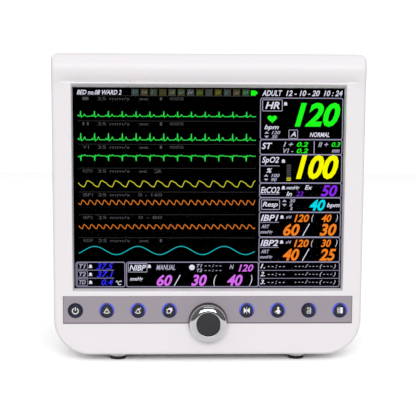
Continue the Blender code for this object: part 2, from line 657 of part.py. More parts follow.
def make_housing(casing):
    """The rear half of the case."""
    front = Y_SEAM + GAP
    housing = Shape().loft(tail_loops(front)).make("rear_housing", casing)
    lip = case_outline(BEZEL_WALL + LOOSE, BEZEL_TOP_WALL + LOOSE)
    add(housing, Shape().prism(lip, "Y", front - LIP_LENGTH, front + 1 * MM))
    cut(housing, Shape().loft(tail_loops(front - LIP_LENGTH - 5 * MM, WALL)))

    # Added walls: the grip's pocket, screw columns, rear pad and foot bosses.
    add(housing, Shape().box(*handle_box(WALL)))
    columns = Shape()
    for x, z in screw_places():
        columns.rod("Y", (x, z), SCREW_BOSS_RADIUS, Y_CHASSIS_BACK + GAP, Y_REAR - WALL + 1 * MM, 12)
    add(housing, columns)
    pad_z = Z_SCREEN + REAR_PAD_RISE
    half = REAR_PAD_SIZE / 2
    extras = Shape().box(
        (-half, Y_REAR - 1 * MM, pad_z - half), (half, Y_REAR + REAR_PAD_THICKNESS, pad_z + half)
    )
    for x in (-FOOT_OFFSET, FOOT_OFFSET):
        foot_boss(extras, x, Y_FACE + REAR_FOOT_SETBACK, Z_BOTTOM + SEAM_STEP)
    add(housing, extras)

    cuts = Shape().box(*handle_box(0.0, 5 * MM))
    for x, z in screw_places():
        head = Y_REAR - SCREW_HEAD_HEIGHT - 2 * GAP
        cuts.lathe((
            (SCREW_RADIUS + GAP, Y_REAR - SCREW_HEAD_HEIGHT - SCREW_LENGTH - 1 * MM),
            (SCREW_RADIUS + GAP, head), (SCREW_HEAD_RADIUS + GAP, head),
            (SCREW_HEAD_RADIUS + GAP, Y_REAR + 2 * MM),
        ), "Y", (x, z), 12)
    for x in (-REAR_PAD_PITCH / 2, REAR_PAD_PITCH / 2):
        for z in (pad_z - REAR_PAD_PITCH / 2, pad_z + REAR_PAD_PITCH / 2):
            cuts.rod("Y", (x, z), 2.0 * MM, Y_REAR - 1.2 * MM, Y_REAR + REAR_PAD_THICKNESS + 1 * MM, 12)
    bay_box(cuts, 0.0, -CASE_HALF - 5 * MM, -INNER_HALF + 1 * MM)
    cut(housing, cuts)

    # Vents beside the rear pad and low on the rear wall, and the loudspeaker's slots.
    slots = Shape()
    for side in (-1, 1):
        for i in range(6):
            x = side * (half + 12 * MM + 7 * MM * i)
            slots.box((x - 1.3 * MM, Y_REAR - 2 * WALL, Z_SCREEN - 12 * MM),
                      (x + 1.3 * MM, Y_REAR + 1 * MM, Z_SCREEN + 38 * MM))
    for i in range(5):
        y = Y_FACE + SPEAKER_SETBACK + (i - 2) * 6 * MM
        slots.box((INNER_HALF - 1 * MM, y - 1.2 * MM, Z_SPEAKER - 13 * MM),
                  (CASE_HALF + 1 * MM, y + 1.2 * MM, Z_SPEAKER + 13 * MM))
    for x, z, width, height in (INLET_CUT, NETWORK_CUT):
        slots.box(
            (x - width / 2, Y_REAR - 2 * WALL, z - height / 2),
            (x + width / 2, Y_REAR + 1 * MM, z + height / 2),
        )
    slots.rod("Y", (STUD_X, INLET_CUT[1]), STUD_RADIUS + GAP, Y_REAR - 2 * WALL, Y_REAR + 1 * MM, 16)
    cut(housing, slots)

    # The battery opening in the floor, with a shallow seat for its door.
    low, high = BATTERY_DOOR
    y_low, y_high = Y_FACE + DOOR_SETBACK, Y_FACE + DOOR_SETBACK + DOOR_LENGTH
    floor = Z_BOTTOM + SEAM_STEP
    door_cut = Shape().box((low, y_low, floor - 1 * MM), (high, y_high, floor + DOOR_THICKNESS + GAP))
    cut(housing, door_cut)
    door_cut = Shape().box(
        (low + DOOR_RIM, y_low + DOOR_RIM, floor),
        (high - DOOR_RIM, y_high - DOOR_RIM, floor + 2 * WALL),
    )
    for x in door_screw_places():
        door_cut.rod("Z", (x, (y_low + y_high) / 2), SCREW_RADIUS + GAP, floor, floor + 2 * WALL, 12)
    cut(housing, door_cut)
    return round_off(housing)


def door_screw_places():
    """The battery door's two screws, as x."""
    low, high = BATTERY_DOOR
    return low + DOOR_RIM / 2, high - DOOR_RIM / 2


def make_handle(casing):
    """The carrying grip: a bar across the pocket on two legs."""
    low, high = handle_box()
    middle = Y_FACE + HANDLE_SETBACK
    half = HANDLE_WIDTH / 2 - GAP
    y_low, y_high = middle - GRIP_WIDTH / 2, middle + GRIP_WIDTH / 2
    top, foot = high[2] - 0.5 * MM, low[2] + GAP
    edge = 3.0 * MM
    section = []
    for y, z, start in (
        (y_low + edge, top - edge, 90), (y_low + edge, top - GRIP_THICKNESS + edge, 180),
        (y_high - edge, top - GRIP_THICKNESS + edge, 270), (y_high - edge, top - edge, 0),
    ):
        for step in range(4):
            angle = math.radians(start + 30 * step)
            section.append((y + edge * math.cos(angle), z + edge * math.sin(angle)))
    grip = Shape().prism(section, "X", -half, half).make("carry_handle", casing)
    legs = Shape()
    for side in (-1, 1):
        inner, outer = sorted((side * (half - GRIP_LEG), side * half))
        legs.box((inner, y_low + edge, foot), (outer, y_high - edge, top - edge))
    add(grip, legs)
    return round_off(grip)


def make_chassis(metal):
    """The metal plate across the rear housing, with openings for the cables."""
    outline = case_outline(HOUSING_SIDE + LOOSE, HOUSING_TOP + LOOSE)
    plate = Shape().prism(outline, "Y", Y_CHASSIS, Y_CHASSIS_BACK).make("chassis_plate", metal)
    openings = Shape()
    for x, z, width, height in ((0, -70 * MM, 60 * MM, 24 * MM), (0.8 * INNER_HALF, 0, 18 * MM, 60 * MM)):
        openings.box((x - width / 2, Y_CHASSIS - 1 * MM, Z_SCREEN + z - height / 2),
                     (x + width / 2, Y_CHASSIS_BACK + 1 * MM, Z_SCREEN + z + height / 2))
    cut(plate, openings)


def make_electronics(green, metal, grey, black):
    """Boards, power supply, battery, blood pressure pump, valve and loudspeaker."""
    board = Y_CHASSIS_BACK + GAP
    main = Shape().box(
        (-88 * MM, board, Z_SCREEN - 20 * MM), (88 * MM, board + BOARD_THICKNESS, Z_SCREEN + 95 * MM)
    ).make("main_board", green)
    parts = Shape()
    for low, high, height in (
        ((-20, 35), (25, 72), 8), ((-78, 10), (-48, 30), 6),
        ((45, 12), (78, 26), 7), ((-10, -14), (50, -6), 5),
        ((-70, 50), (-40, 78), 4),
    ):
        parts.box((low[0] * MM, board + 1 * MM, Z_SCREEN + low[1] * MM),
                  (high[0] * MM, board + BOARD_THICKNESS + height * MM, Z_SCREEN + high[1] * MM))
    add(main, parts)

    back = PANEL_X + PANEL_THICKNESS + SOCKET_LENGTH - SOCKET_FLANGE + GAP
    middle = Z_SCREEN - BAY_DROP
    y_low, y_high = Y_FACE + BAY_SETBACK, Y_FACE + BAY_SETBACK + BAY_LENGTH
    measuring = Shape().box(
        (back, y_low, middle - BAY_HEIGHT / 2), (back + BOARD_THICKNESS, y_high, middle + BAY_HEIGHT / 2)
    ).make("measuring_board", green)
    parts = Shape()
    for z in (-52, -14, 22, 54):
        parts.box((back + 1 * MM, y_low + 10 * MM, middle + (z - 10) * MM),
                  (back + BOARD_THICKNESS + 4 * MM, y_high - 10 * MM, middle + (z + 10) * MM))
    add(measuring, parts)

    floor = Z_INNER_FLOOR + GAP
    bay = Y_CHASSIS_BACK + 6 * MM
    supply_end = INNER_HALF - 36 * MM
    Shape().box((supply_end - 78 * MM, bay, floor), (supply_end, bay + 62 * MM, floor + 42 * MM)).make(
        "power_supply", metal)
    low, high = BATTERY_DOOR
    y_low, y_high = Y_FACE + DOOR_SETBACK, Y_FACE + DOOR_SETBACK + DOOR_LENGTH
    Shape().box((low, y_low, floor), (high, y_high, floor + 26 * MM)).make("battery_pack", black)

    pump = Shape().rod("Y", (0, floor + 13 * MM), 13 * MM, bay, bay + 34 * MM, 24).make("nibp_pump", black)
    add(pump, Shape().box(
        (-11 * MM, bay + 34 * MM - 1 * MM, floor),
        (11 * MM, bay + 46 * MM, floor + 24 * MM),
    ))
    round_off(pump)
    valve = Shape().box(
        (-12 * MM, bay + 47 * MM, floor), (12 * MM, bay + 62 * MM, floor + 20 * MM)).make("nibp_valve", grey)
    add(valve, Shape().rod("Z", (0, bay + 55 * MM), 3 * MM, floor + 19 * MM, floor + 28 * MM, 12))

    speaker = Shape().lathe((
        (0, INNER_HALF - GAP), (22 * MM, INNER_HALF - GAP), (22 * MM, INNER_HALF - 4 * MM),
        (13 * MM, INNER_HALF - 9 * MM), (11 * MM, INNER_HALF - 15 * MM), (0, INNER_HALF - 15 * MM),
    ), "X", (Y_FACE + SPEAKER_SETBACK, Z_SPEAKER), 24).make("loudspeaker", black)
    round_off(speaker)


def socket_place(column, row):
    """Centre (y, z) of a socket in the connector bay."""
    return (
        Y_FACE + BAY_SETBACK + BAY_LENGTH / 2 - column * SOCKET_SPREAD,
        Z_SCREEN - BAY_DROP + row * SOCKET_PITCH,
    )


def make_connectors(grey, socket_finishes):
    """The side panel and its eight patient sockets."""
    shape = Shape()
    bay_box(shape, PANEL_OVERLAP, PANEL_X, PANEL_X + PANEL_THICKNESS)
    panel = shape.make("connector_panel", grey)
    holes = Shape()
    for _, column, row, outer, _ in SOCKETS:
        holes.rod("X", socket_place(column, row), outer - SOCKET_FLANGE + GAP, PANEL_X - 1 * MM,
                  PANEL_X + PANEL_THICKNESS + 1 * MM, 16)
    cut(panel, holes)
    round_off(panel)

    face = PANEL_X - GAP - SOCKET_FLANGE
    back = PANEL_X + PANEL_THICKNESS + SOCKET_LENGTH - SOCKET_FLANGE
    for name, column, row, outer, pocket in SOCKETS:
        centre = socket_place(column, row)
        barrel = outer - SOCKET_FLANGE
        start = face if name != "nibp_fitting" else face - 1.2 * MM
        floor = start + SOCKET_POCKET
        profile = (
            (0, back), (barrel, back), (barrel, PANEL_X - GAP), (outer, PANEL_X - GAP),
            (outer, start), (pocket, start), (pocket, floor), (0, floor),
        )
        socket = Shape().lathe(profile, "X", centre, 16).make(name, socket_finishes[name])
        round_off(socket)


def make_rear_fittings(black, grey, brass):
    """Mains inlet, network socket and equipotential stud."""
    x, z, width, height = INLET_CUT
    front = Y_REAR - 24 * MM
    inlet = Shape().box(
        (x - width / 2 + GAP, front, z - height / 2 + GAP),
        (x + width / 2 - GAP, Y_REAR, z + height / 2 - GAP),
    ).make("mains_inlet", black)
    plate = Shape().box(
        (x - width / 2 - 3 * MM, Y_REAR + GAP, z - height / 2 - 3 * MM),
        (x + width / 2 + 3 * MM, Y_REAR + 2 * MM, z + height / 2 + 3 * MM),
    )
    add(inlet, Shape().box(
        (x - width / 2 + GAP, Y_REAR - 1 * MM, z - height / 2 + GAP),
        (x + width / 2 - GAP, Y_REAR + 1 * MM, z + height / 2 - GAP)))
    add(inlet, plate)
    cut(inlet, Shape().box(
        (x - 12 * MM, Y_REAR - 16 * MM, z - 8.5 * MM), (x + 12 * MM, Y_REAR + 3 * MM, z + 8.5 * MM)))
    pins = Shape()
    for pin_x, pin_z in ((-7 * MM, -1.5 * MM), (0, 2.5 * MM), (7 * MM, -1.5 * MM)):
        pins.box((x + pin_x - 1 * MM, Y_REAR - 17 * MM, z + pin_z - 2 * MM),
                 (x + pin_x + 1 * MM, Y_REAR - 4 * MM, z + pin_z + 2 * MM))
    add(inlet, pins)

    x, z, width, height = NETWORK_CUT
    network = Shape().box(
        (x - width / 2 + GAP, Y_REAR - 16 * MM, z - height / 2 + GAP),
        (x + width / 2 - GAP, Y_REAR, z + height / 2 - GAP),
    ).make("network_socket", grey)
    cut(network, Shape().box(
        (x - 6 * MM, Y_REAR - 12 * MM, z - 5 * MM),
        (x + 6 * MM, Y_REAR + 1 * MM, z + 5 * MM),
    ))

    stud = Shape().lathe((
        (0, Y_REAR - 10 * MM), (STUD_RADIUS, Y_REAR - 10 * MM), (STUD_RADIUS, Y_REAR + GAP),
        (6 * MM, Y_REAR + GAP), (6 * MM, Y_REAR + 1.5 * MM), (STUD_RADIUS, Y_REAR + 1.5 * MM),
        (STUD_RADIUS, Y_REAR + 5 * MM), (0, Y_REAR + 5.5 * MM),
    ), "Y", (STUD_X, INLET_CUT[1]), 20).make("equipotential_stud", brass)
    round_off(stud)


def make_fasteners(casing, steel):
    """The battery door, its screws and the case screws."""
    low, high = BATTERY_DOOR
    y_low, y_high = Y_FACE + DOOR_SETBACK, Y_FACE + DOOR_SETBACK + DOOR_LENGTH
    floor = Z_BOTTOM + SEAM_STEP
    door = Shape().box(
        (low + GAP, y_low + GAP, floor), (high - GAP, y_high - GAP, floor + DOOR_THICKNESS)
    ).make("battery_door", casing)
    holes = Shape()
    middle = (y_low + y_high) / 2
    for x in door_screw_places():
        holes.rod("Z", (x, middle), SCREW_RADIUS + GAP, floor - 1 * MM, floor + DOOR_THICKNESS + 1 * MM, 12)
    cut(door, holes)
    for number, x in enumerate(door_screw_places(), 1):
        screw = Shape().lathe((
            (0, floor - GAP - 1 * MM), (2.6 * MM, floor - GAP - 0.8 * MM), (2.6 * MM, floor - GAP),
            (SCREW_RADIUS, floor - GAP), (SCREW_RADIUS, floor + WALL - GAP), (0, floor + WALL - GAP),
        ), "Z", (x, middle), 12).make(f"door_screw_{number}", steel)
        round_off(screw)
    for number, place in enumerate(screw_places(), 1):
        head = Y_REAR - SCREW_HEAD_HEIGHT - GAP
        screw = Shape().lathe((
            (0, head - SCREW_LENGTH), (SCREW_RADIUS, head - SCREW_LENGTH), (SCREW_RADIUS, head),
            (SCREW_HEAD_RADIUS, head), (SCREW_HEAD_RADIUS, Y_REAR - 0.8 * MM), (0, Y_REAR - GAP),
        ), "Y", place, 12).make(f"case_screw_{number}", steel)
        cut(screw, Shape().box((place[0] - 2.2 * MM, Y_REAR - 1.4 * MM, place[1] - 0.4 * MM),
                               (place[0] + 2.2 * MM, Y_REAR + 1 * MM, place[1] + 0.4 * MM)))
        round_off(screw)


def make_feet(rubber):
    """Four rubber pads under the casing's bosses."""
    top = FOOT_HEIGHT - FOOT_BOSS_HEIGHT - GAP
    for end, setback in (("front", FRONT_FOOT_SETBACK), ("rear", REAR_FOOT_SETBACK)):
        for side, x in (("left", -FOOT_OFFSET), ("right", FOOT_OFFSET)):
            profile = (
                (0, 0), (FOOT_PAD_RADIUS - 0.6 * MM, 0), (FOOT_PAD_RADIUS, 0.8 * MM),
                (FOOT_PAD_RADIUS, top), (0, top),
            )
            foot = Shape().lathe(profile, "Z", (x, Y_FACE + setback), 16).make(f"{end}_{side}_foot", rubber)
            round_off(foot)


def main():
    """Build every piece."""
    for item in list(bpy.data.objects):
        bpy.data.objects.remove(item)
    casing = finish("casing", (0.86, 0.86, 0.83), 0.42)
    mauve = finish("strip", (0.38, 0.33, 0.37), 0.40)
    dark = finish("key", (0.02, 0.02, 0.025), 0.35)
    clear = finish("light_guide", (0.12, 0.16, 0.62), 0.30)
    chrome = finish("chrome", (0.82, 0.82, 0.84), 0.08, 1.0)
    black = finish("black", (0.02, 0.02, 0.022), 0.45)
    steel = finish("steel", (0.60, 0.60, 0.62), 0.30, 1.0)
    metal = finish("sheet_metal", (0.70, 0.71, 0.72), 0.40, 1.0)
    grey = finish("grey", (0.30, 0.31, 0.33), 0.50)
    green = finish("board", (0.03, 0.20, 0.08), 0.45)
    glass = finish("window", (0.05, 0.05, 0.05), 0.10)
    rubber = finish("rubber", (0.03, 0.03, 0.03), 0.80)
    brass = finish("brass", (0.78, 0.60, 0.30), 0.30, 1.0)
    socket_colors = {
        "ecg_socket": (0.05, 0.35, 0.12), "spo2_socket": (0.10, 0.20, 0.55),
        "nibp_fitting": (0.55, 0.56, 0.58),
        "co2_socket": (0.60, 0.50, 0.10), "temp1_socket": (0.45, 0.25, 0.08),
        "temp2_socket": (0.45, 0.25, 0.08),
        "ibp1_socket": (0.55, 0.10, 0.08), "ibp2_socket": (0.55, 0.10, 0.08),
    }
    socket_finishes = {name: finish(name, color, 0.40) for name, color in socket_colors.items()}

    make_bezel(casing)
    make_strip(mauve)
    make_light_guides(clear)
    make_keys(dark)
    make_knob(chrome, black, steel, grey)
    make_key_board(green)
    make_display(glass, black, metal, green)
    make_housing(casing)
    make_handle(casing)
    make_chassis(metal)
    make_electronics(green, metal, grey, black)
    make_connectors(grey, socket_finishes)
    make_rear_fittings(black, grey, brass)
    make_fasteners(casing, steel)
    make_feet(rubber)


main()
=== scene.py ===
"""Looks of a bedside patient monitor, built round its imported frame. Lengths are metres."""
import logging
import math
from dataclasses import dataclass, field
from enum import Enum
from typing import Iterable, Sequence

import bmesh
import bpy
import numpy as np
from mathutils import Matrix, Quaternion, Vector


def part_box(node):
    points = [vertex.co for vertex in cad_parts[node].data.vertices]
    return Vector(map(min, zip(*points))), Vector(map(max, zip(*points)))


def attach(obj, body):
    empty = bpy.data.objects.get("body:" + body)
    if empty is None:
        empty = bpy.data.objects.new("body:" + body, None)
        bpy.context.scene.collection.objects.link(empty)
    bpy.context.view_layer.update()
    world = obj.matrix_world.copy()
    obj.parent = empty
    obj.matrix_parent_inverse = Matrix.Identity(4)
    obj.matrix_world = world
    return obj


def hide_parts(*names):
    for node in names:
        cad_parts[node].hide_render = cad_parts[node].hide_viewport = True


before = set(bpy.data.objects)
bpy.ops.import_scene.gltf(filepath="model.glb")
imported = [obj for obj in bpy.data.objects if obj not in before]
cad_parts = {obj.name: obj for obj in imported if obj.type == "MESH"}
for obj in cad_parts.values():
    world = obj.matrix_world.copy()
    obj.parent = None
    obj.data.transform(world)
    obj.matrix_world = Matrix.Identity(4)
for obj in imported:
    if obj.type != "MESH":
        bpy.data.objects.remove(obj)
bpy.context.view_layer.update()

MM = 0.001
LOG = logging.getLogger("patient_monitor")
MERGE = 1e-6  # points closer than this are one
FINE_MERGE = 1e-8  # the same, on thin flat pieces
TURNED_MERGE = 2e-7  # the same, on turned pieces
SHARP_ANGLE = 40.0  # degrees; edges bent by more stay sharp
CUT_ANGLE = 32.0  # the same, on pieces with openings cut into them


# ------------------------------------------------------------------ node groups
def wire(tree: bpy.types.NodeTree, kind: str, inputs: dict, **settings: object) -> bpy.types.Node:
    """Add a shader node, set it up, and link or fill its inputs.

    Args:
        tree: the material's or the group's tree.
        kind: the node's type, without ShaderNode.
        inputs: a socket to link or a value to set, for each input's name or number.
        settings: the node's own properties.

    Returns:
        The node.
    """
    node = tree.nodes.new(f"ShaderNode{kind}")
    for key, value in settings.items():
        setattr(node, key, value)
    for key, value in inputs.items():
        if isinstance(value, bpy.types.NodeSocket):
            tree.links.new(value, node.inputs[key])
        else:
            node.inputs[key].default_value = value
    return node


class Kit:
    """Shader node groups that several finishes share, each built once."""

    made: dict[str, bpy.types.NodeTree] = {}

    @classmethod
    def use(cls, tree: bpy.types.NodeTree, name: str, **inputs: object) -> bpy.types.Node:
        """Place a group in a material, and build the group if it is the first use.

        Args:
            tree: the material's tree.
            name: grain, tone or smudge.
            inputs: what to link or to set.

        Returns:
            The group's node.
        """
        if name not in cls.made:
            cls.made[name] = getattr(cls, name)()
        return wire(tree, "Group", inputs, node_tree=cls.made[name])

    @staticmethod
    def start(name: str, inputs: dict[str, float | tuple], output: tuple[str, str]) -> tuple:
        """Start a group.

        Args:
            name: the group's name.
            inputs: each input's default, a number or a colour.
            output: the output's name and its socket type.

        Returns:
            The group, its inputs, its output, and the place on the object.
        """
        group = bpy.data.node_groups.new(name, "ShaderNodeTree")
        for label, default in inputs.items():
            kind = "NodeSocketColor" if isinstance(default, tuple) else "NodeSocketFloat"
            group.interface.new_socket(label, in_out="INPUT", socket_type=kind).default_value = default
        group.interface.new_socket(output[0], in_out="OUTPUT", socket_type=output[1])
        entry, end = group.nodes.new("NodeGroupInput"), group.nodes.new("NodeGroupOutput")
        return group, entry.outputs, end.inputs[output[0]], wire(group, "TexCoord", {}).outputs["Object"]

    @classmethod
    def grain(cls) -> bpy.types.NodeTree:
        """Fine moulded or cast surface: a height from noise and a few pits.

        Returns:
            The group.
        """
        group, entry, end, place = cls.start("grain", {"Scale": 1500.0, "Pits": 0.3},
                                             ("Height", "NodeSocketFloat"))
        fine = wire(group, "TexNoise", {"Vector": place, "Scale": entry["Scale"], "Detail": 3.0})
        cells = wire(group, "TexVoronoi", {"Vector": place, "Scale": entry["Scale"]}, feature="SMOOTH_F1")
        height = wire(group, "Math", {0: cells.outputs["Distance"], 1: entry["Pits"], 2: fine.outputs["Fac"]},
                      operation="MULTIPLY_ADD")
        group.links.new(height.outputs[0], end)
        return group

    @classmethod
    def tone(cls) -> bpy.types.NodeTree:
        """Slow change of a colour over the piece, as ageing and handling leave it.

        Returns:
            The group.
        """
        group, entry, end, place = cls.start(
            "tone", {"Color": (0.8, 0.8, 0.8, 1), "Shift": (0.7, 0.7, 0.7, 1), "Amount": 0.1, "Scale": 14.0},
            ("Color", "NodeSocketColor"))
        noise = wire(group, "TexNoise",
                     {"Vector": place, "Scale": entry["Scale"], "Detail": 4.0, "Roughness": 0.62})
        ramp = wire(group, "MapRange", {"Value": noise.outputs["Fac"], "From Min": 0.35, "From Max": 0.75})
        weigh = wire(group, "Math", {0: ramp.outputs["Result"], 1: entry["Amount"]}, operation="MULTIPLY")
        mix = wire(group, "Mix", {"Factor": weigh.outputs[0], "A": entry["Color"], "B": entry["Shift"]},
                   data_type="RGBA")
        group.links.new(mix.outputs["Result"], end)
        return group

    @classmethod
    def smudge(cls) -> bpy.types.NodeTree:
        """Roughness of a touched surface: a base value, with stretched smears on it.

        Returns:
            The group.
        """
        group, entry, end, place = cls.start("smudge", {"Base": 0.4, "Spread": 0.1},
                                             ("Roughness", "NodeSocketFloat"))
        turn = wire(group, "Mapping",
                    {"Vector": place, "Rotation": (0.3, 0.9, 0.5), "Scale": (1.0, 1.0, 2.6)})
        noise = wire(group, "TexNoise", {"Vector": turn.outputs["Vector"], "Scale": 38.0, "Detail": 5.0})
        centre = wire(group, "Math", {0: noise.outputs["Fac"], 1: 0.5}, operation="SUBTRACT")
        rough = wire(group, "Math", {0: centre.outputs[0], 1: entry["Spread"], 2: entry["Base"]},
                     operation="MULTIPLY_ADD")
        group.links.new(rough.outputs[0], end)
        return group


# ------------------------------------------------------------------ finishes
def new_material(name: str) -> tuple[bpy.types.Material, bpy.types.NodeTree, bpy.types.Node]:
    """Start a material, and return it with its tree and its shader."""
    made = bpy.data.materials.new(name)
    made.use_nodes = True
    return made, made.node_tree, made.node_tree.nodes["Principled BSDF"]


@dataclass(frozen=True)
class Finish:
    """One surface finish of the monitor."""

    name: str
    color: tuple[float, float, float]
    roughness: float = 0.4
    metallic: float = 0.0
    shift: tuple[float, float, float] | None = None
    amount: float = 0.25
    tone_scale: float = 14.0
    spread: float = 0.12
    grain_scale: float = 1800.0
    grain_depth: float = 0.04
    pits: float = 0.3
    specular: float = 0.5

    def build(self) -> bpy.types.Material:
        """Make the material, or return the one made before.

        Returns:
            The material.
        """
        title = f"{self.name}_finish"
        if title in bpy.data.materials:
            return bpy.data.materials[title]
        made, tree, shader = new_material(title)
        shader.inputs["Metallic"].default_value = self.metallic
        shader.inputs["Specular IOR Level"].default_value = self.specular
        shift = self.shift or tuple(0.82 * value for value in self.color)
        tone = Kit.use(tree, "tone", Color=(*self.color, 1), Shift=(*shift, 1), Amount=self.amount,
                       Scale=self.tone_scale)
        smudge = Kit.use(tree, "smudge", Base=self.roughness, Spread=self.spread)
        grain = Kit.use(tree, "grain", Scale=self.grain_scale, Pits=self.pits)
        bump = wire(tree, "Bump",
                    {"Strength": self.grain_depth, "Distance": 0.0002, "Height": grain.outputs["Height"]})
        tree.links.new(tone.outputs["Color"], shader.inputs["Base Color"])
        tree.links.new(smudge.outputs["Roughness"], shader.inputs["Roughness"])
        tree.links.new(bump.outputs["Normal"], shader.inputs["Normal"])
        return made


@dataclass(frozen=True)
class Glow:
    """Light of the display or of a lit ring, as a colour that gives off light."""

    name: str
    color: tuple[float, float, float]
    strength: float = 1.0
    masked: bool = False

    def build(self) -> bpy.types.Material:
        """Make the material. A masked one takes its brightness from the attribute 'lit'.

        Returns:
            The material.
        """
        if self.name in bpy.data.materials:
            return bpy.data.materials[self.name]
        made, tree, shader = new_material(self.name)
        shader.inputs["Roughness"].default_value = 0.35
        shader.inputs["Specular IOR Level"].default_value = 0.2 if self.masked else 0.0
        shader.inputs["Base Color"].default_value = (0, 0, 0, 1)
        shader.inputs["Emission Strength"].default_value = self.strength
        place = wire(tree, "TexCoord", {}).outputs["Object"]
        noise = wire(tree, "TexNoise", {"Vector": place, "Scale": 900.0})
        faint = (*(0.93 * value for value in self.color), 1)
        glow = wire(tree, "Mix", {"Factor": noise.outputs["Fac"], "A": faint, "B": (*self.color, 1)},
                    data_type="RGBA").outputs["Result"]
        if self.masked:
            mask = wire(tree, "Attribute", {}, attribute_name="lit").outputs["Fac"]
            glow = wire(tree, "Mix", {"Factor": mask, "A": (0.012, 0.012, 0.030, 1), "B": glow},
                        data_type="RGBA").outputs["Result"]
            tree.links.new(glow, shader.inputs["Base Color"])
        tree.links.new(glow, shader.inputs["Emission Color"])
        return made


CASING = Finish("casing", (0.885, 0.850, 0.874), 0.42, shift=(0.850, 0.815, 0.842), grain_depth=0.10)
STRIP = Finish("control_strip", (0.375, 0.330, 0.372), 0.36, amount=0.3, shift=(0.33, 0.30, 0.34),
               grain_depth=0.06)
KEY_CAP = Finish("key_cap", (0.018, 0.020, 0.030), 0.38, grain_scale=2600, grain_depth=0.08)
SYMBOL = Finish("key_symbol", (0.80, 0.82, 0.84), 0.45, grain_depth=0.05)
LIT_SYMBOL = Finish("key_symbol_bright", (0.92, 0.93, 0.95), 0.45, grain_depth=0.05)
CHROME = Finish("chrome", (0.86, 0.86, 0.87), 0.10, 1.0, amount=0.1, spread=0.06, grain_depth=0.01)
KNOB_CAP = Finish("knob_cap", (0.022, 0.023, 0.026), 0.5, grain_scale=1400, grain_depth=0.30, pits=0.8)
RUBBER = Finish("rubber", (0.012, 0.012, 0.013), 0.75, amount=0.5, shift=(0.03, 0.03, 0.03), grain_depth=0.4)
GREY = Finish("grey_plastic", (0.20, 0.21, 0.23), 0.5, grain_depth=0.15)
BLACK = Finish("black_plastic", (0.02, 0.02, 0.022), 0.45, grain_depth=0.15)
STEEL = Finish("zinc_steel", (0.62, 0.62, 0.64), 0.28, 1.0, amount=0.4, grain_depth=0.05)
SHEET_METAL = Finish("sheet_metal", (0.66, 0.67, 0.68), 0.35, 1.0, amount=0.4, grain_scale=900)
BRASS = Finish("brass", (0.80, 0.62, 0.30), 0.25, 1.0, amount=0.4, shift=(0.55, 0.38, 0.16))
BOARD = Finish("circuit_board", (0.02, 0.14, 0.06), 0.35, amount=0.5, shift=(0.01, 0.08, 0.04),
               tone_scale=160)
# Painted shade for the screws' cross recesses.
RECESS_SHADE = Finish("painted_recess_shade", (0.10, 0.11, 0.13), 0.5)
SOCKET_COLORS = {
    "ecg_socket": Finish("ecg_green", (0.03, 0.30, 0.10), 0.35),
    "spo2_socket": Finish("spo2_blue", (0.06, 0.16, 0.55), 0.35),
    "nibp_fitting": Finish("nibp_metal", (0.66, 0.65, 0.62), 0.22, 1.0, amount=0.3),
    "co2_socket": Finish("co2_yellow", (0.70, 0.52, 0.06), 0.35),
    "temp1_socket": Finish("temp_brown", (0.40, 0.20, 0.06), 0.35),
    "temp2_socket": Finish("temp_brown", (0.40, 0.20, 0.06), 0.35),
    "ibp1_socket": Finish("ibp_red", (0.55, 0.05, 0.04), 0.35),
    "ibp2_socket": Finish("ibp_red", (0.55, 0.05, 0.04), 0.35),
}


# ------------------------------------------------------------------ mesh tools
def put_mesh(name: str, points: np.ndarray, faces: Iterable, finish: Finish | Glow, smooth: bool = True
             ) -> bpy.types.Object:
    """Make a piece from points and faces.

    Args:
        name: the piece's name.
        points: an (n, 3) array of places.
        faces: index tuples, or an (m, 4) array.
        finish: the material's description.
        smooth: whether round surfaces are shaded smooth.

    Returns:
        The object, at the origin.
    """
    data = bpy.data.meshes.new(name)
    rows = faces.tolist() if isinstance(faces, np.ndarray) else [tuple(face) for face in faces]
    data.from_pydata(np.asarray(points, float).reshape(-1, 3).tolist(), [], rows)
    data.validate()
    data.materials.append(finish.build())
    if smooth:
        data.shade_smooth()
        data.set_sharp_from_angle(angle=math.radians(SHARP_ANGLE))
    made = bpy.data.objects.new(name, data)
    bpy.context.scene.collection.objects.link(made)
    return made


def face_out(piece: bpy.types.Object, reach: float = 0.0) -> None:
    """Merge a piece's points that lie close together, and turn its faces outwards.

    Args:
        piece: the piece.
        reach: points closer than this are merged; 0 merges none.
    """
    mesh = bmesh.new()
    mesh.from_mesh(piece.data)
    if reach:
        bmesh.ops.remove_doubles(mesh, verts=mesh.verts, dist=reach)
    bmesh.ops.recalc_face_normals(mesh, faces=mesh.faces)
    mesh.to_mesh(piece.data)
    mesh.free()


def heal(piece: bpy.types.Object, reach: float = MERGE) -> bpy.types.Object:
    """Merge points, turn the faces outwards, shade the piece smooth, and return it."""
    face_out(piece, reach)
    piece.data.shade_smooth()
    piece.data.set_sharp_from_angle(angle=math.radians(SHARP_ANGLE))
    return piece


def grid_faces(rows: int, columns: int, wrap: bool = False, start: int = 0) -> np.ndarray:
    """Quads of a grid whose points are stored row by row, wrapped round each row if asked."""
    i = np.arange(rows - 1)[:, None] * columns
    j = np.arange(columns if wrap else columns - 1)[None, :]
    k = (j + 1) % columns
    return np.stack([i + j, i + k, i + columns + k, i + columns + j], -1).reshape(-1, 4) + start


def tube_faces(rings: int, count: int, first: bool = True, last: bool = True) -> list[list[int]]:
    """Faces of a tube of rings with count points each, with a face over its first and its last ring."""
    faces = grid_faces(rings, count, wrap=True).tolist()
    return faces + [list(range(count))] * first + [list(range((rings - 1) * count, rings * count))] * last


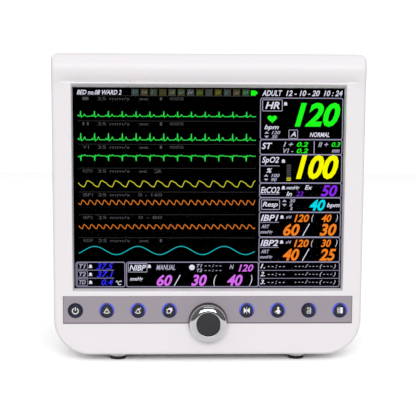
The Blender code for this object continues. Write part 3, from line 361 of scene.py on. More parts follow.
def turned(profile: np.ndarray, centre: Vector | Sequence[float], axis: str, segments: int = 64) -> tuple:
    """Surface of revolution: each (radius, distance) row goes round the axis at even angles.

    Args:
        profile: an (n, 2) array of radius and distance along the axis.
        centre: the two coordinates across the axis, in the order of the axes.
        axis: X, Y or Z.
        segments: points round the axis.

    Returns:
        The points and the faces, with both ends closed by a face.
    """
    profile = np.asarray(profile, float)
    angle = np.arange(segments) * 2 * math.pi / segments
    first = centre[0] + profile[:, :1] * np.cos(angle)
    second = centre[1] + profile[:, :1] * np.sin(angle)
    along = np.broadcast_to(profile[:, 1:], first.shape)
    order = {"X": (along, first, second), "Y": (first, along, second), "Z": (first, second, along)}[axis]
    points = np.stack(order, -1).reshape(-1, 3)
    return points, tube_faces(len(profile), segments)


def turned_ring(profile: Sequence, centre: Sequence[float], axis: str, segments: int = 64) -> tuple:
    """A closed profile that goes round the axis, with no ends: its points and faces."""
    points, faces = turned(profile, centre, axis, segments)
    last = (len(profile) - 1) * segments
    around = [(last + i, last + (i + 1) % segments, (i + 1) % segments, i) for i in range(segments)]
    return points, faces[:-2] + around


def turned_piece(name: str, profile: Sequence, centre: Sequence[float], axis: str, finish: Finish | Glow,
                 segments: int = 64) -> bpy.types.Object:
    """A turned piece with its faces outwards and its ends closed."""
    return heal(put_mesh(name, *turned(profile, centre, axis, segments), finish), TURNED_MERGE)


def arc(centre: Sequence[float], radius: float, start: float, end: float, steps: int) -> np.ndarray:
    """Points on a circle between two angles in degrees, both ends included."""
    angle = np.radians(np.linspace(start, end, steps + 1))
    return np.stack([centre[0] + radius * np.cos(angle), centre[1] + radius * np.sin(angle)], -1)


def together(parts: Iterable[tuple]) -> tuple[np.ndarray, list]:
    """Put several (points, faces) pairs into one.

    Args:
        parts: the pairs.

    Returns:
        All their points and faces.
    """
    points, faces, count = [], [], 0
    for some, rows in parts:
        points.append(np.asarray(some, float).reshape(-1, 3))
        faces += [tuple(int(index) + count for index in row) for row in rows]
        count += len(points[-1])
    return np.concatenate(points), faces


def apply(piece: bpy.types.Object) -> bpy.types.Object:
    """Bake a piece's modifiers into its mesh."""
    state = bpy.context.evaluated_depsgraph_get()
    result = bpy.data.meshes.new_from_object(piece.evaluated_get(state))
    piece.modifiers.clear()
    piece.data = result
    return piece


def cut(piece: bpy.types.Object, tools: tuple[np.ndarray, list]) -> bpy.types.Object:
    """Take closed bodies away from a piece.

    Args:
        piece: what is cut.
        tools: the bodies' points and faces.

    Returns:
        The piece.
    """
    tool = heal(put_mesh("tool", *tools, BLACK), TURNED_MERGE / 2)
    modifier = piece.modifiers.new("cut", "BOOLEAN")
    modifier.operation = "DIFFERENCE"
    modifier.solver = "EXACT"
    modifier.object = tool
    apply(piece)
    bpy.data.objects.remove(tool)
    piece.data.shade_smooth()
    piece.data.set_sharp_from_angle(angle=math.radians(CUT_ANGLE))
    return piece


def thicken(piece: bpy.types.Object, wall: float) -> bpy.types.Object:
    """Give a surface a wall behind it, and return the piece."""
    modifier = piece.modifiers.new("wall", "SOLIDIFY")
    modifier.thickness, modifier.offset = wall, -1
    return apply(piece)


def seat(piece: bpy.types.Object, body: str, slot: str, *nodes: str) -> bpy.types.Object:
    """Fasten a piece to its body and report it.

    Args:
        piece: the piece.
        body: the body that it rides on.
        slot: its material slot; not used.
        nodes: the CAD nodes that it replaces.

    Returns:
        The piece.
    """
    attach(piece, body)
    if nodes:
        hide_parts(*nodes)
    LOG.info("%s: %d faces", piece.name, len(piece.data.polygons))
    return piece


def fit(name: str, shape: tuple, finish: Finish, slot: str, reach: float = MERGE) -> None:
    """Make a still piece from points and faces, heal it and fasten it to the case.

    Args:
        name: the piece's name.
        shape: its points and its faces.
        finish: its finish.
        slot: its material slot.
        reach: points closer than this are merged.
    """
    seat(heal(put_mesh(name, *shape, finish), reach), "case", slot)


# ------------------------------------------------------------------ the front
def smooth_step(value: np.ndarray, low: float, high: float) -> np.ndarray:
    """Zero below low, one above high, and a cubic ease between."""
    part = np.clip((value - low) / (high - low), 0, 1)
    return part * part * (3 - 2 * part)


@dataclass
class Case:
    """Sizes that the front and the rear of the casing share."""

    half: float = 141.25 * MM
    bottom: float = 7.5 * MM
    top: float = 282.9 * MM
    face: float = -72.0 * MM
    seam: float = -38.0 * MM
    rear: float = 78.0 * MM
    lower_radius: float = 33.0 * MM
    upper_radius: float = 5.5 * MM
    crease: float = 258.5 * MM
    brow_radius: float = 16.0 * MM
    brow_centre: tuple[float, float] = (-58.51 * MM, 268.5 * MM)
    screen: float = -62.0 * MM
    screen_middle: float = 160.5 * MM
    screen_half: tuple[float, float] = (123.0 * MM, 92.25 * MM)


@dataclass
class Bezel:
    """The front half of the casing, worked out as one surface.

    Rows of the surface have one height each, from the bottom to the top, and columns run across.
    A row's ends lie on the casing's outline, drawn in by the edge's rounding. The surface's depth
    is the brow's arc above the crease and the flat face below it, eased into one another towards
    the sides, where the crease dies out.
    """

    case: Case
    edge: float = 3.0 * MM
    wall: float = 1.8 * MM
    window_edge: float = 0.8 * MM
    reveal: tuple[float, float, float] = (1.43 * MM, 2.29 * MM, 4.05 * MM)
    pocket_half: float = 132.9 * MM
    pocket_z: tuple[float, float] = (37.0 * MM, 62.9 * MM)
    pocket_floor: float = -69.2 * MM
    lip_height: float = 1.9 * MM

    def brow(self, height: np.ndarray) -> np.ndarray:
        """Depth of the brow's arc at a height: the front side of its circle."""
        centre_y, centre_z = self.case.brow_centre
        drop = np.sqrt(np.maximum(self.case.brow_radius ** 2 - (height - centre_z) ** 2, 0))
        return centre_y - drop

    def depth(self, across: np.ndarray, height: np.ndarray) -> np.ndarray:
        """Depth of the front surface.

        Args:
            across: distances from the middle.
            height: heights, of the same shape.

        Returns:
            The y of each point. Near the middle it follows the face, a narrow rounded lip and the
            brow's arc; towards the sides it runs smoothly from the face into the arc.
        """
        case = self.case
        arc_part = self.brow(np.maximum(height, case.crease))
        lip_low = case.crease - self.lip_height
        rise = np.clip((height - lip_low) / self.lip_height, 0, 1)
        lip = case.face + 1.4 * MM * rise ** 1.3 - 0.25 * MM * np.sin(np.pi * rise)
        flat = np.full_like(height, case.face)
        creased = np.where(height >= case.crease, arc_part, np.where(height > lip_low, lip, flat))
        swell = smooth_step(height, case.crease - 7 * MM, case.brow_centre[1])
        front = case.brow_centre[0] - case.brow_radius
        eased = np.where(height >= case.brow_centre[1], arc_part, case.face + (front - case.face) * swell)
        share = smooth_step(np.abs(across), self.case.screen_half[0] + 3.0 * MM, self.case.half - 5.5 * MM)
        return creased * (1 - share) + eased * share

    def outline(self) -> tuple[np.ndarray, np.ndarray, np.ndarray]:
        """Right half of the outline from the bottom to the top.

        Returns:
            Heights and half-widths of the rows' ends on the drawn-in outline, and the outward
            direction (across, up) at each. The corners are quarter circles.
        """
        case, edge = self.case, self.edge
        low_centre = case.bottom + case.lower_radius
        inner = case.lower_radius - edge
        stop = math.degrees(math.asin((self.pocket_z[0] - low_centre) / inner))
        angles = np.radians(np.concatenate([np.linspace(-90, stop, 16), np.linspace(stop, 0, 4)[1:]]))
        rows = [np.stack([low_centre + inner * np.sin(angles),
                          case.half - case.lower_radius + inner * np.cos(angles),
                          np.cos(angles), np.sin(angles)], -1)]
        window_low = case.screen_middle - case.screen_half[1] - self.reveal[1] - self.window_edge
        window_high = case.crease - self.lip_height
        levels = np.concatenate([
            [48 * MM, self.pocket_z[1], window_low], np.linspace(78 * MM, 240 * MM, 10),
            [248 * MM, 252 * MM, 254 * MM, window_high], np.linspace(window_high, case.crease, 7)[1:],
            np.linspace(case.crease, case.top - case.upper_radius, 16)[1:],
        ])
        ones = np.ones_like(levels)
        rows.append(np.stack([levels, ones * (case.half - edge), ones, 0 * ones], -1))
        turn = np.radians(np.linspace(0, 90, 13))[1:]
        height = case.top - case.upper_radius + case.upper_radius * np.sin(turn)
        slope = (height - case.brow_centre[1]) / (case.brow_centre[0] - self.brow(height))
        inset = edge * (1 - np.sin(np.arctan(np.sin(turn) * slope)))
        inset = np.minimum(inset, case.upper_radius - 0.5 * MM)
        radius = case.upper_radius - inset
        rows.append(np.stack([case.top - case.upper_radius + radius * np.sin(turn),
                              case.half - case.upper_radius + radius * np.cos(turn),
                              np.cos(turn), np.sin(turn)], -1))
        table = np.concatenate(rows)
        keep = np.concatenate([[True], np.diff(table[:, 0]) > 1e-6])
        table = table[keep]
        return table[:, 0], table[:, 1], table[:, 2:]

    def columns(self) -> np.ndarray:
        """Nominal places of the columns, with one at each side of the window and of the pocket.

        Returns:
            Distances from the middle, from left to right.
        """
        window = self.case.screen_half[0] + self.reveal[0] + self.window_edge
        right = np.concatenate([
            np.linspace(0, window, 15), np.linspace(window, self.pocket_half, 7)[1:],
            np.linspace(self.pocket_half, self.case.half - self.edge, 5)[1:],
        ])
        return np.concatenate([-right[:0:-1], right])

    def build(self) -> bpy.types.Object:
        """Make the shell: front grid, window tunnel, strip pocket, rounded edge and side walls.

        Returns:
            The shell.
        """
        case = self.case
        height, ends, normal = self.outline()
        nominal = self.columns()
        rows, count = len(height), len(nominal)
        full = case.half - self.edge
        at_pocket = np.interp(self.pocket_z[0], height, ends)
        inner = np.where(height < self.pocket_z[0] - 1e-6, self.pocket_half * ends / at_pocket,
                         self.pocket_half)
        inner = np.minimum(inner, ends - 0.2 * MM)
        share = np.clip((np.abs(nominal) - self.pocket_half) / (full - self.pocket_half), 0, 1)
        x = np.where(np.abs(nominal)[None] <= self.pocket_half,
                     nominal[None] * inner[:, None] / self.pocket_half,
                     np.sign(nominal)[None] * (inner[:, None] + share[None] * (ends - inner)[:, None]))
        z = np.repeat(height[:, None], count, 1)
        y = self.depth(x, z)
        points = [np.stack([x, y, z], -1).reshape(-1, 3)]
        window = (
            int(np.argmin(abs(nominal + case.screen_half[0] + self.reveal[0] + self.window_edge))),
            int(np.argmin(abs(nominal - case.screen_half[0] - self.reveal[0] - self.window_edge))),
            int(np.argmin(abs(height - case.screen_middle + case.screen_half[1] + self.reveal[1]
                              + self.window_edge))),
            int(np.argmin(abs(height - case.crease + self.lip_height))),
        )
        pocket = (
            int(np.argmin(abs(nominal + self.pocket_half))), int(np.argmin(abs(nominal - self.pocket_half))),
            int(np.argmin(abs(height - self.pocket_z[0]))), int(np.argmin(abs(height - self.pocket_z[1]))),
        )
        grid = grid_faces(rows, count)
        row, column = grid[:, 0] // count, grid[:, 0] % count
        keep = np.ones(len(grid), bool)
        for left, right, low, high in (window, pocket):
            keep &= ~((row >= low) & (row < high) & (column >= left) & (column < right))
        faces = [tuple(face) for face in grid[keep]]
        total = len(points[0])
        for rings, hole in ((self.tunnel(), window), (self.pocket(), pocket)):
            loop = self.loop(hole, count)
            more, quads = self.hole(points[0], loop, rings, total)
            points.append(more)
            faces += quads
            total += len(more)
        rim = np.concatenate([
            np.arange(count), np.arange(1, rows) * count + count - 1,
            (rows - 1) * count + np.arange(count - 2, -1, -1), np.arange(rows - 2, 0, -1) * count,
        ])
        more, quads = self.skirt(points[0][rim], rim, total, normal, count)
        points.append(more)
        faces += quads
        piece = heal(put_mesh("casing_front", np.concatenate(points), faces, CASING))
        return seat(thicken(piece, self.wall), "case", "casing", "front_bezel")

    def loop(self, hole: tuple[int, int, int, int], count: int) -> np.ndarray:
        """Numbers of the grid's points round a rectangular opening, in order."""
        left, right, low, high = hole
        return np.concatenate([
            low * count + np.arange(left, right + 1), np.arange(low + 1, high + 1) * count + right,
            high * count + np.arange(right - 1, left - 1, -1), np.arange(high - 1, low, -1) * count + left,
        ])

    def tunnel(self) -> list[tuple[float, float, float, float, float]]:
        """Rings of the window's slopes: half-width, low, high, and the share of the depth done.

        Returns:
            Half-width, low, high, share of the depth done, and the depth at the end, for each ring.
        """
        case, edge = self.case, self.window_edge
        half, middle = case.screen_half, case.screen_middle
        side, low, high = self.reveal
        back = case.screen - 0.3 * MM
        rings = []
        for part in np.linspace(0, 1, 6)[1:]:
            # A quadratic curve from the face round into the slope.
            out = (1 - part) ** 2 * edge
            deep = part ** 2 * 0.09
            done = deep ** 0.22
            rings.append((half[0] + side * (1 - done) + out, middle - half[1] - low * (1 - done) - out,
                          middle + half[1] + high * (1 - deep ** 0.6) - 0.12 * (edge - out), deep, back))
        for deep in (0.4, 0.75, 0.985):
            done = deep ** 0.22
            rings.append((half[0] + side * (1 - done), middle - half[1] - low * (1 - done),
                          middle + half[1] + high * (1 - deep ** 0.6) * 0.97, deep, back))
        rings.append((half[0], middle - half[1], middle + half[1], 1.0, back))
        rings.append((half[0] + 2.4 * MM, middle - half[1] - 2.4 * MM, middle + half[1] + 2.4 * MM, 1.0,
                      back))
        return rings

    def pocket(self) -> list[tuple[float, float, float, float, float]]:
        """Rings of the strip's pocket: straight walls, then a ledge that carries the strip."""
        low, high, half = *self.pocket_z, self.pocket_half
        return [(half, low, high, deep, self.pocket_floor) for deep in (0.08, 0.5, 0.92, 1.0)] + [
            (half - width, low + width, high - width, 1.0, self.pocket_floor)
            for width in (0.2 * MM, 3.2 * MM)]

    def hole(self, grid: np.ndarray, loop: np.ndarray, rings: list, start: int) -> tuple[np.ndarray, list]:
        """Carry an opening's edge back through rectangles.

        Args:
            grid: the front's points.
            loop: numbers of the points round the opening.
            rings: (half-width, low, high, share of the depth, depth at the end) of each rectangle.
            start: number of the first new point.

        Returns:
            The new points and the faces that join them to the opening's edge.
        """
        edge = grid[loop]
        part_x = (edge[:, 0] - edge[:, 0].min()) / np.ptp(edge[:, 0])
        part_z = (edge[:, 2] - edge[:, 2].min()) / np.ptp(edge[:, 2])
        made = []
        for half, low, high, deep, back in rings:
            made.append(np.stack([(2 * part_x - 1) * half, edge[:, 1] * (1 - deep) + back * deep,
                                  low + part_z * (high - low)], -1))
        count = len(loop)
        quads = [tuple(face) for face in grid_faces(len(rings), count, wrap=True, start=start)]
        after = np.roll(np.arange(count), -1)
        quads += [(int(loop[i]), int(loop[j]), start + int(j), start + int(i)) for i, j in enumerate(after)]
        return np.concatenate(made), quads

    def skirt(self, edge: np.ndarray, rim: np.ndarray, start: int, normal: np.ndarray,
              count: int) -> tuple[np.ndarray, list]:
        """Round the front's edge and run the walls back to the seam.

        Args:
            edge: points round the front grid.
            rim: their numbers.
            start: number of the first new point.
            normal: outward direction of each row's right end.
            count: points in a row.

        Returns:
            The new points and faces. The rounding is an arc that leaves the surface at its own tilt.
        """
        case = self.case
        row, column = rim // count, rim % count
        out = normal[row] * np.where(column == 0, -1, 1)[:, None] ** np.array([1, 0])
        inside = (column > 0) & (column < count - 1)
        out[inside] = np.where((row[inside] == 0)[:, None], [[0.0, -1.0]], [[0.0, 1.0]])
        slope = (edge[:, 2] - case.brow_centre[1]) / np.maximum(case.brow_centre[0] - self.brow(edge[:, 2]),
                                                                1e-4)
        tilt = np.where(edge[:, 2] > case.brow_centre[1], np.arctan(out[:, 1] * slope), 0.0)
        outer = edge[:, [0, 2]] + out * (self.edge * (1 - np.sin(tilt)))[:, None]
        made = []
        for part in np.linspace(0, 1, 9)[1:]:
            angle = tilt + (math.pi / 2 - tilt) * part
            reach = self.edge * (np.sin(angle) - np.sin(tilt))
            flat = edge[:, [0, 2]] + out * reach[:, None]
            made.append(np.stack([flat[:, 0], edge[:, 1] + self.edge * (np.cos(tilt) - np.cos(angle)),
                                  flat[:, 1]], -1))
        last = made[-1][:, 1]
        for part in (0.25, 0.5, 0.75, 0.985):
            made.append(np.stack([outer[:, 0], last + (case.seam - last) * part, outer[:, 1]], -1))
        top = np.maximum(out[:, 1], 0)
        for inset in (0 * top + 0.35 * MM, 1.85 * MM + 2.0 * MM * top ** 2):
            flat = outer - out * inset[:, None]
            made.append(np.stack([flat[:, 0], 0 * top + case.seam, flat[:, 1]], -1))
        for ring in made:
            ring[:, 2] = np.minimum(ring[:, 2], case.top)
        quads = [tuple(face) for face in grid_faces(len(made), len(rim), wrap=True, start=start)]
        after = np.roll(np.arange(len(rim)), -1)
        quads += [(int(rim[i]), int(rim[j]), start + int(j), start + int(i)) for i, j in enumerate(after)]
        return np.concatenate(made), quads


# ------------------------------------------------------------------ the studio
@dataclass
class Studio:
    """Floor, lights and camera."""

    eye: tuple[float, float, float] = (-36.6 * MM, -1141.7 * MM, 290.3 * MM)
    aim: tuple[float, float, float] = (-0.3 * MM, -62.0 * MM, 143.0 * MM)
    roll: float = 0.33
    lens: float = 103.0
    horizon: float = 0.02
    overhead: float = 0.80
    behind: float = 0.6
    mirrored: float = 0.10
    lift: float = 1.5

    def build(self) -> None:
        """Put up the floor, the sky, two soft lights and the camera."""
        scene = bpy.context.scene
        scene.view_settings.view_transform = "Standard"
        data = bpy.data.cameras.new("camera")
        data.lens, data.clip_start = self.lens, 0.05
        camera = bpy.data.objects.new("camera", data)
        camera.location = self.eye
        look = (Vector(self.aim) - Vector(self.eye)).to_track_quat("-Z", "Y")
        camera.rotation_euler = (look @ Quaternion((0, 0, 1), math.radians(self.roll))).to_euler()
        scene.collection.objects.link(camera)
        scene.camera = camera
        self.floor()
        self.sky()
        self.light("key_light", (-0.04, -3.3, 1.85), (0, 0, 0.15), (3.2, 1.2), 66.0)
        self.light("top_light", (0.1, 0.0, 1.6), (0, 0, 0.15), (1.2, 1.2), 2.6)

    def sky(self) -> None:
        """White to the eye. As light it is dim near the floor and behind, and dark in reflections."""
        world = bpy.data.worlds.new("sky")
        world.use_nodes = True
        tree = world.node_tree
        path = wire(tree, "LightPath", {}).outputs
        axes = wire(tree, "SeparateXYZ", {0: wire(tree, "TexCoord", {}).outputs["Generated"]}).outputs
        fade = wire(tree, "MapRange", {"Value": axes["Z"], "From Min": 0.13, "From Max": 0.27,
                                       "To Min": self.horizon, "To Max": self.overhead})
        front = wire(tree, "MapRange", {"Value": axes["Y"], "From Min": -0.9, "From Max": 0.1,
                                        "To Min": 1.0, "To Max": self.behind})
        both = wire(tree, "Math", {0: fade.outputs["Result"], 1: front.outputs["Result"]},
                    operation="MULTIPLY")
        gloss = wire(tree, "Mix", {"Factor": path["Is Glossy Ray"], "A": both.outputs[0], "B": self.mirrored})
        pick = wire(tree, "Mix", {"Factor": path["Is Camera Ray"], "A": gloss.outputs["Result"], "B": 1.1})
        background = tree.nodes["Background"]
        background.inputs["Color"].default_value = (1, 1, 1, 1)
        tree.links.new(pick.outputs["Result"], background.inputs["Strength"])
        bpy.context.scene.world = world

    def light(self, name: str, place: Sequence[float], aim: Sequence[float], size: Sequence[float],
              power: float) -> None:
        """Hang one soft rectangular light.

        Args:
            name: its name.
            place: where it hangs.
            aim: what it points at.
            size: its width and height.
            power: watts.
        """
        data = bpy.data.lights.new(name, "AREA")
        data.shape, data.size, data.size_y, data.energy = "RECTANGLE", *size, power
        lamp = bpy.data.objects.new(name, data)
        lamp.location = place
        lamp.rotation_euler = (Vector(aim) - Vector(place)).to_track_quat("-Z", "Y").to_euler()
        bpy.context.scene.collection.objects.link(lamp)

    def floor(self) -> None:
        """A large pale floor with a faint even mottle, lifted to white where no shadow falls."""
        grid = np.linspace(-1.6, 1.6, 13)
        x, y = np.meshgrid(grid, grid)
        points = np.stack([x, y, 0 * x], -1).reshape(-1, 3)
        slab = put_mesh("floor", points, grid_faces(13, 13), BLACK, smooth=False)
        made, tree, shader = new_material("studio_floor")
        tree.nodes.remove(shader)
        tone = Kit.use(tree, "tone", Color=(*[self.lift] * 3, 1), Shift=(*[0.97 * self.lift] * 3, 1))
        seen = wire(tree, "LightPath", {}).outputs["Is Camera Ray"]
        pick = wire(tree, "Mix", {"Factor": seen, "A": (0.82, 0.82, 0.82, 1), "B": tone.outputs["Color"]},
                    data_type="RGBA")
        paper = wire(tree, "BsdfDiffuse", {"Color": pick.outputs["Result"]})
        tree.links.new(paper.outputs[0], tree.nodes["Material Output"].inputs["Surface"])
        slab.data.materials[0] = made


# ------------------------------------------------------------------ the display
def lit(red: int, green: int, blue: int) -> tuple[float, float, float]:
    """A display colour, given in the usual 0 to 255 steps, as light."""
    return tuple((value / 255) ** 2.2 for value in (red, green, blue))


class Ink(Enum):
    """Colours that the monitor draws with."""

    WHITE = lit(222, 222, 240)
    SILVER = lit(178, 176, 200)
    FRAME = lit(150, 146, 172)
    FAINT = lit(78, 78, 82)
    GREEN = lit(35, 255, 35)
    TRACE_GREEN = lit(50, 225, 80)
    YELLOW = lit(252, 252, 10)
    TRACE_YELLOW = lit(205, 205, 50)
    PURPLE = lit(135, 45, 230)
    CYAN = lit(0, 225, 240)
    TRACE_CYAN = lit(30, 190, 195)
    ORANGE = lit(248, 130, 40)
    TRACE_ORANGE = lit(215, 120, 45)
    PINK = lit(215, 110, 238)
    BLUE = lit(50, 50, 240)
    GREY_TILE = lit(62, 64, 62)
    OLIVE_TILE = lit(66, 62, 36)


class Lean(Enum):
    """How letters stand."""

    UPRIGHT = 0.0
    ITALIC = 0.28


@dataclass
class Drawing:
    """Thin lit shapes in front of the display panel, on a field of 800 by 600 steps."""

    middle: tuple[float, float]
    half: tuple[float, float]
    front: float
    thickness: float = 0.04 * MM
    parts: dict[Ink, list] = field(default_factory=dict)

    def add(self, ink: Ink, flat: np.ndarray, faces: Iterable) -> None:
        """Keep a shape.

        Args:
            ink: its colour.
            flat: an (n, 3) array of across, down and thickness (0 in front, 1 behind).
            faces: its faces.
        """
        x = self.middle[0] + (flat[:, 0] - 400) / 400 * self.half[0]
        z = self.middle[1] + (300 - flat[:, 1]) / 300 * self.half[1]
        y = self.front + flat[:, 2] * self.thickness
        self.parts.setdefault(ink, []).append((np.stack([x, y, z], -1), faces))

    def line(self, ink: Ink, path: np.ndarray, width: float, closed: bool = False) -> None:
        """A flat band along a path: each station is moved half the width to either side.

        Args:
            ink: its colour.
            path: an (n, 2) array.
            width: the band's width.
            closed: whether its end joins its start.
        """
        path = np.asarray(path, float)
        if closed:
            step = np.roll(path, -1, 0) - np.roll(path, 1, 0)
        else:
            step = np.gradient(path, axis=0)
        step /= np.maximum(np.linalg.norm(step, axis=1, keepdims=True), 1e-9)
        side = np.stack([-step[:, 1], step[:, 0]], -1) * width / 2
        ring = [np.column_stack([path + side * way, np.full(len(path), deep)])
                for way, deep in ((1, 0), (-1, 0), (-1, 1), (1, 1))]
        points = np.stack(ring, 1).reshape(-1, 3)
        count = len(path)
        if closed:
            i, j = np.arange(count)[:, None] * 4, np.arange(4)[None]
            k, n = (j + 1) % 4, (np.arange(count)[:, None] + 1) % count * 4
            faces = np.stack([i + j, i + k, n + k, n + j], -1).reshape(-1, 4).tolist()
        else:
            faces = tube_faces(count, 4)
        self.add(ink, points, faces)

    def shape(self, ink: Ink, edge: np.ndarray) -> None:
        """A filled flat shape with the given edge."""
        count = len(edge)
        points = np.concatenate([np.column_stack([edge, np.zeros(count)]),
                                 np.column_stack([edge, np.ones(count)])])
        after = (np.arange(count) + 1) % count
        faces = [[int(a), int(b), int(b) + count, int(a) + count] for a, b in zip(range(count), after)]
        self.add(ink, points, faces + [list(range(count)), list(range(count, 2 * count))])

    def tile(self, ink: Ink, left: float, top: float, right: float, bottom: float) -> None:
        """A filled rectangle."""
        self.shape(ink, np.array([(left, top), (right, top), (right, bottom), (left, bottom)], float))

    def frame(self, left: float, top: float, right: float, bottom: float, ink: Ink = Ink.FRAME,
              width: float = 2.6,
              corner: float = 6.0) -> None:
        """An outlined rectangle with quarter-circle corners."""
        corners = ((right - corner, bottom - corner, 0), (left + corner, bottom - corner, 90),
                   (left + corner, top + corner, 180), (right - corner, top + corner, 270))
        path = np.concatenate([arc((x, y), corner, start, start + 90, 4) for x, y, start in corners])
        self.line(ink, path, width, closed=True)

    def rule(self, left: float, top: float, right: float, bottom: float, ink: Ink = Ink.FRAME,
             width: float = 2.0) -> None:
        """A straight line."""
        self.line(ink, np.array([(left, top), (right, bottom)], float), width)

    def round(self, ink: Ink, x: float, y: float, radius: float) -> None:
        """A filled disc."""
        self.shape(ink, arc((x, y), radius, 0, 345, 23))

    def text(self, ink: Ink, words: str, left: float, right: float, top: float, bottom: float,
             lean: Lean = Lean.ITALIC, weight: float = 0.02) -> None:
        """Letters that fill the given box.

        Args:
            ink: their colour.
            words: what they say.
            left, right, top, bottom: the box.
            lean: how they stand.
            weight: how much their outlines are thickened.
        """
        curve = bpy.data.curves.new("letters", "FONT")
        curve.body, curve.resolution_u = words, 3
        curve.shear, curve.offset, curve.extrude = lean.value, weight, 0.01
        maker = bpy.data.objects.new("letters", curve)
        mesh = maker.to_mesh()
        places = np.empty(len(mesh.vertices) * 3)
        mesh.vertices.foreach_get("co", places)
        places = places.reshape(-1, 3)
        faces = [list(face.vertices) for face in mesh.polygons]
        maker.to_mesh_clear()
        bpy.data.objects.remove(maker)
        bpy.data.curves.remove(curve)
        low, high = places.min(0), places.max(0)
        part = (places - low) / np.maximum(high - low, 1e-9)
        flat = np.stack([left + part[:, 0] * (right - left), bottom + part[:, 1] * (top - bottom),
                         1 - part[:, 2]], -1)
        self.add(ink, flat, faces)

    def finish(self, name: str, body: str = "case", slot: str = "display_panel",
               paint: Finish | None = None) -> None:
        """Make one piece of each colour's shapes.

        Args:
            name: start of the pieces' names.
            body: the body that they ride on.
            slot: its material slot.
            paint: a finish to use instead of light.
        """
        for ink, shapes in self.parts.items():
            glow = paint or Glow(f"{name}_{ink.name.lower()}", ink.value)
            piece = put_mesh(f"{name}_{ink.name.lower()}", *together(shapes), glow, smooth=False)
            face_out(piece)
            seat(piece, body, slot)


def heart_beat(phase: np.ndarray, spike: float, bump: float) -> np.ndarray:
    """Height of a heart's electric trace over one beat: small bump, sharp spike, then a wider bump."""
    first = 0.22 * np.exp(-((phase - 0.14) / 0.035) ** 2)
    sharp = np.exp(-((phase - 0.30) / 0.022) ** 2) * spike
    dip = 0.22 * spike * np.exp(-((phase - 0.36) / 0.02) ** 2)
    return first + (sharp - dip) + bump * np.exp(-((phase - 0.58) / 0.055) ** 2)


def pulse(phase: np.ndarray) -> np.ndarray:
    """Height of a pulse trace over one beat: quick rise, slow fall with a notch."""
    rise = smooth_step(phase, 0.0, 0.28)
    fall = 1 - 0.93 * smooth_step(phase, 0.26, 1.0)
    return rise * fall + 0.10 * np.exp(-((phase - 0.62) / 0.06) ** 2)


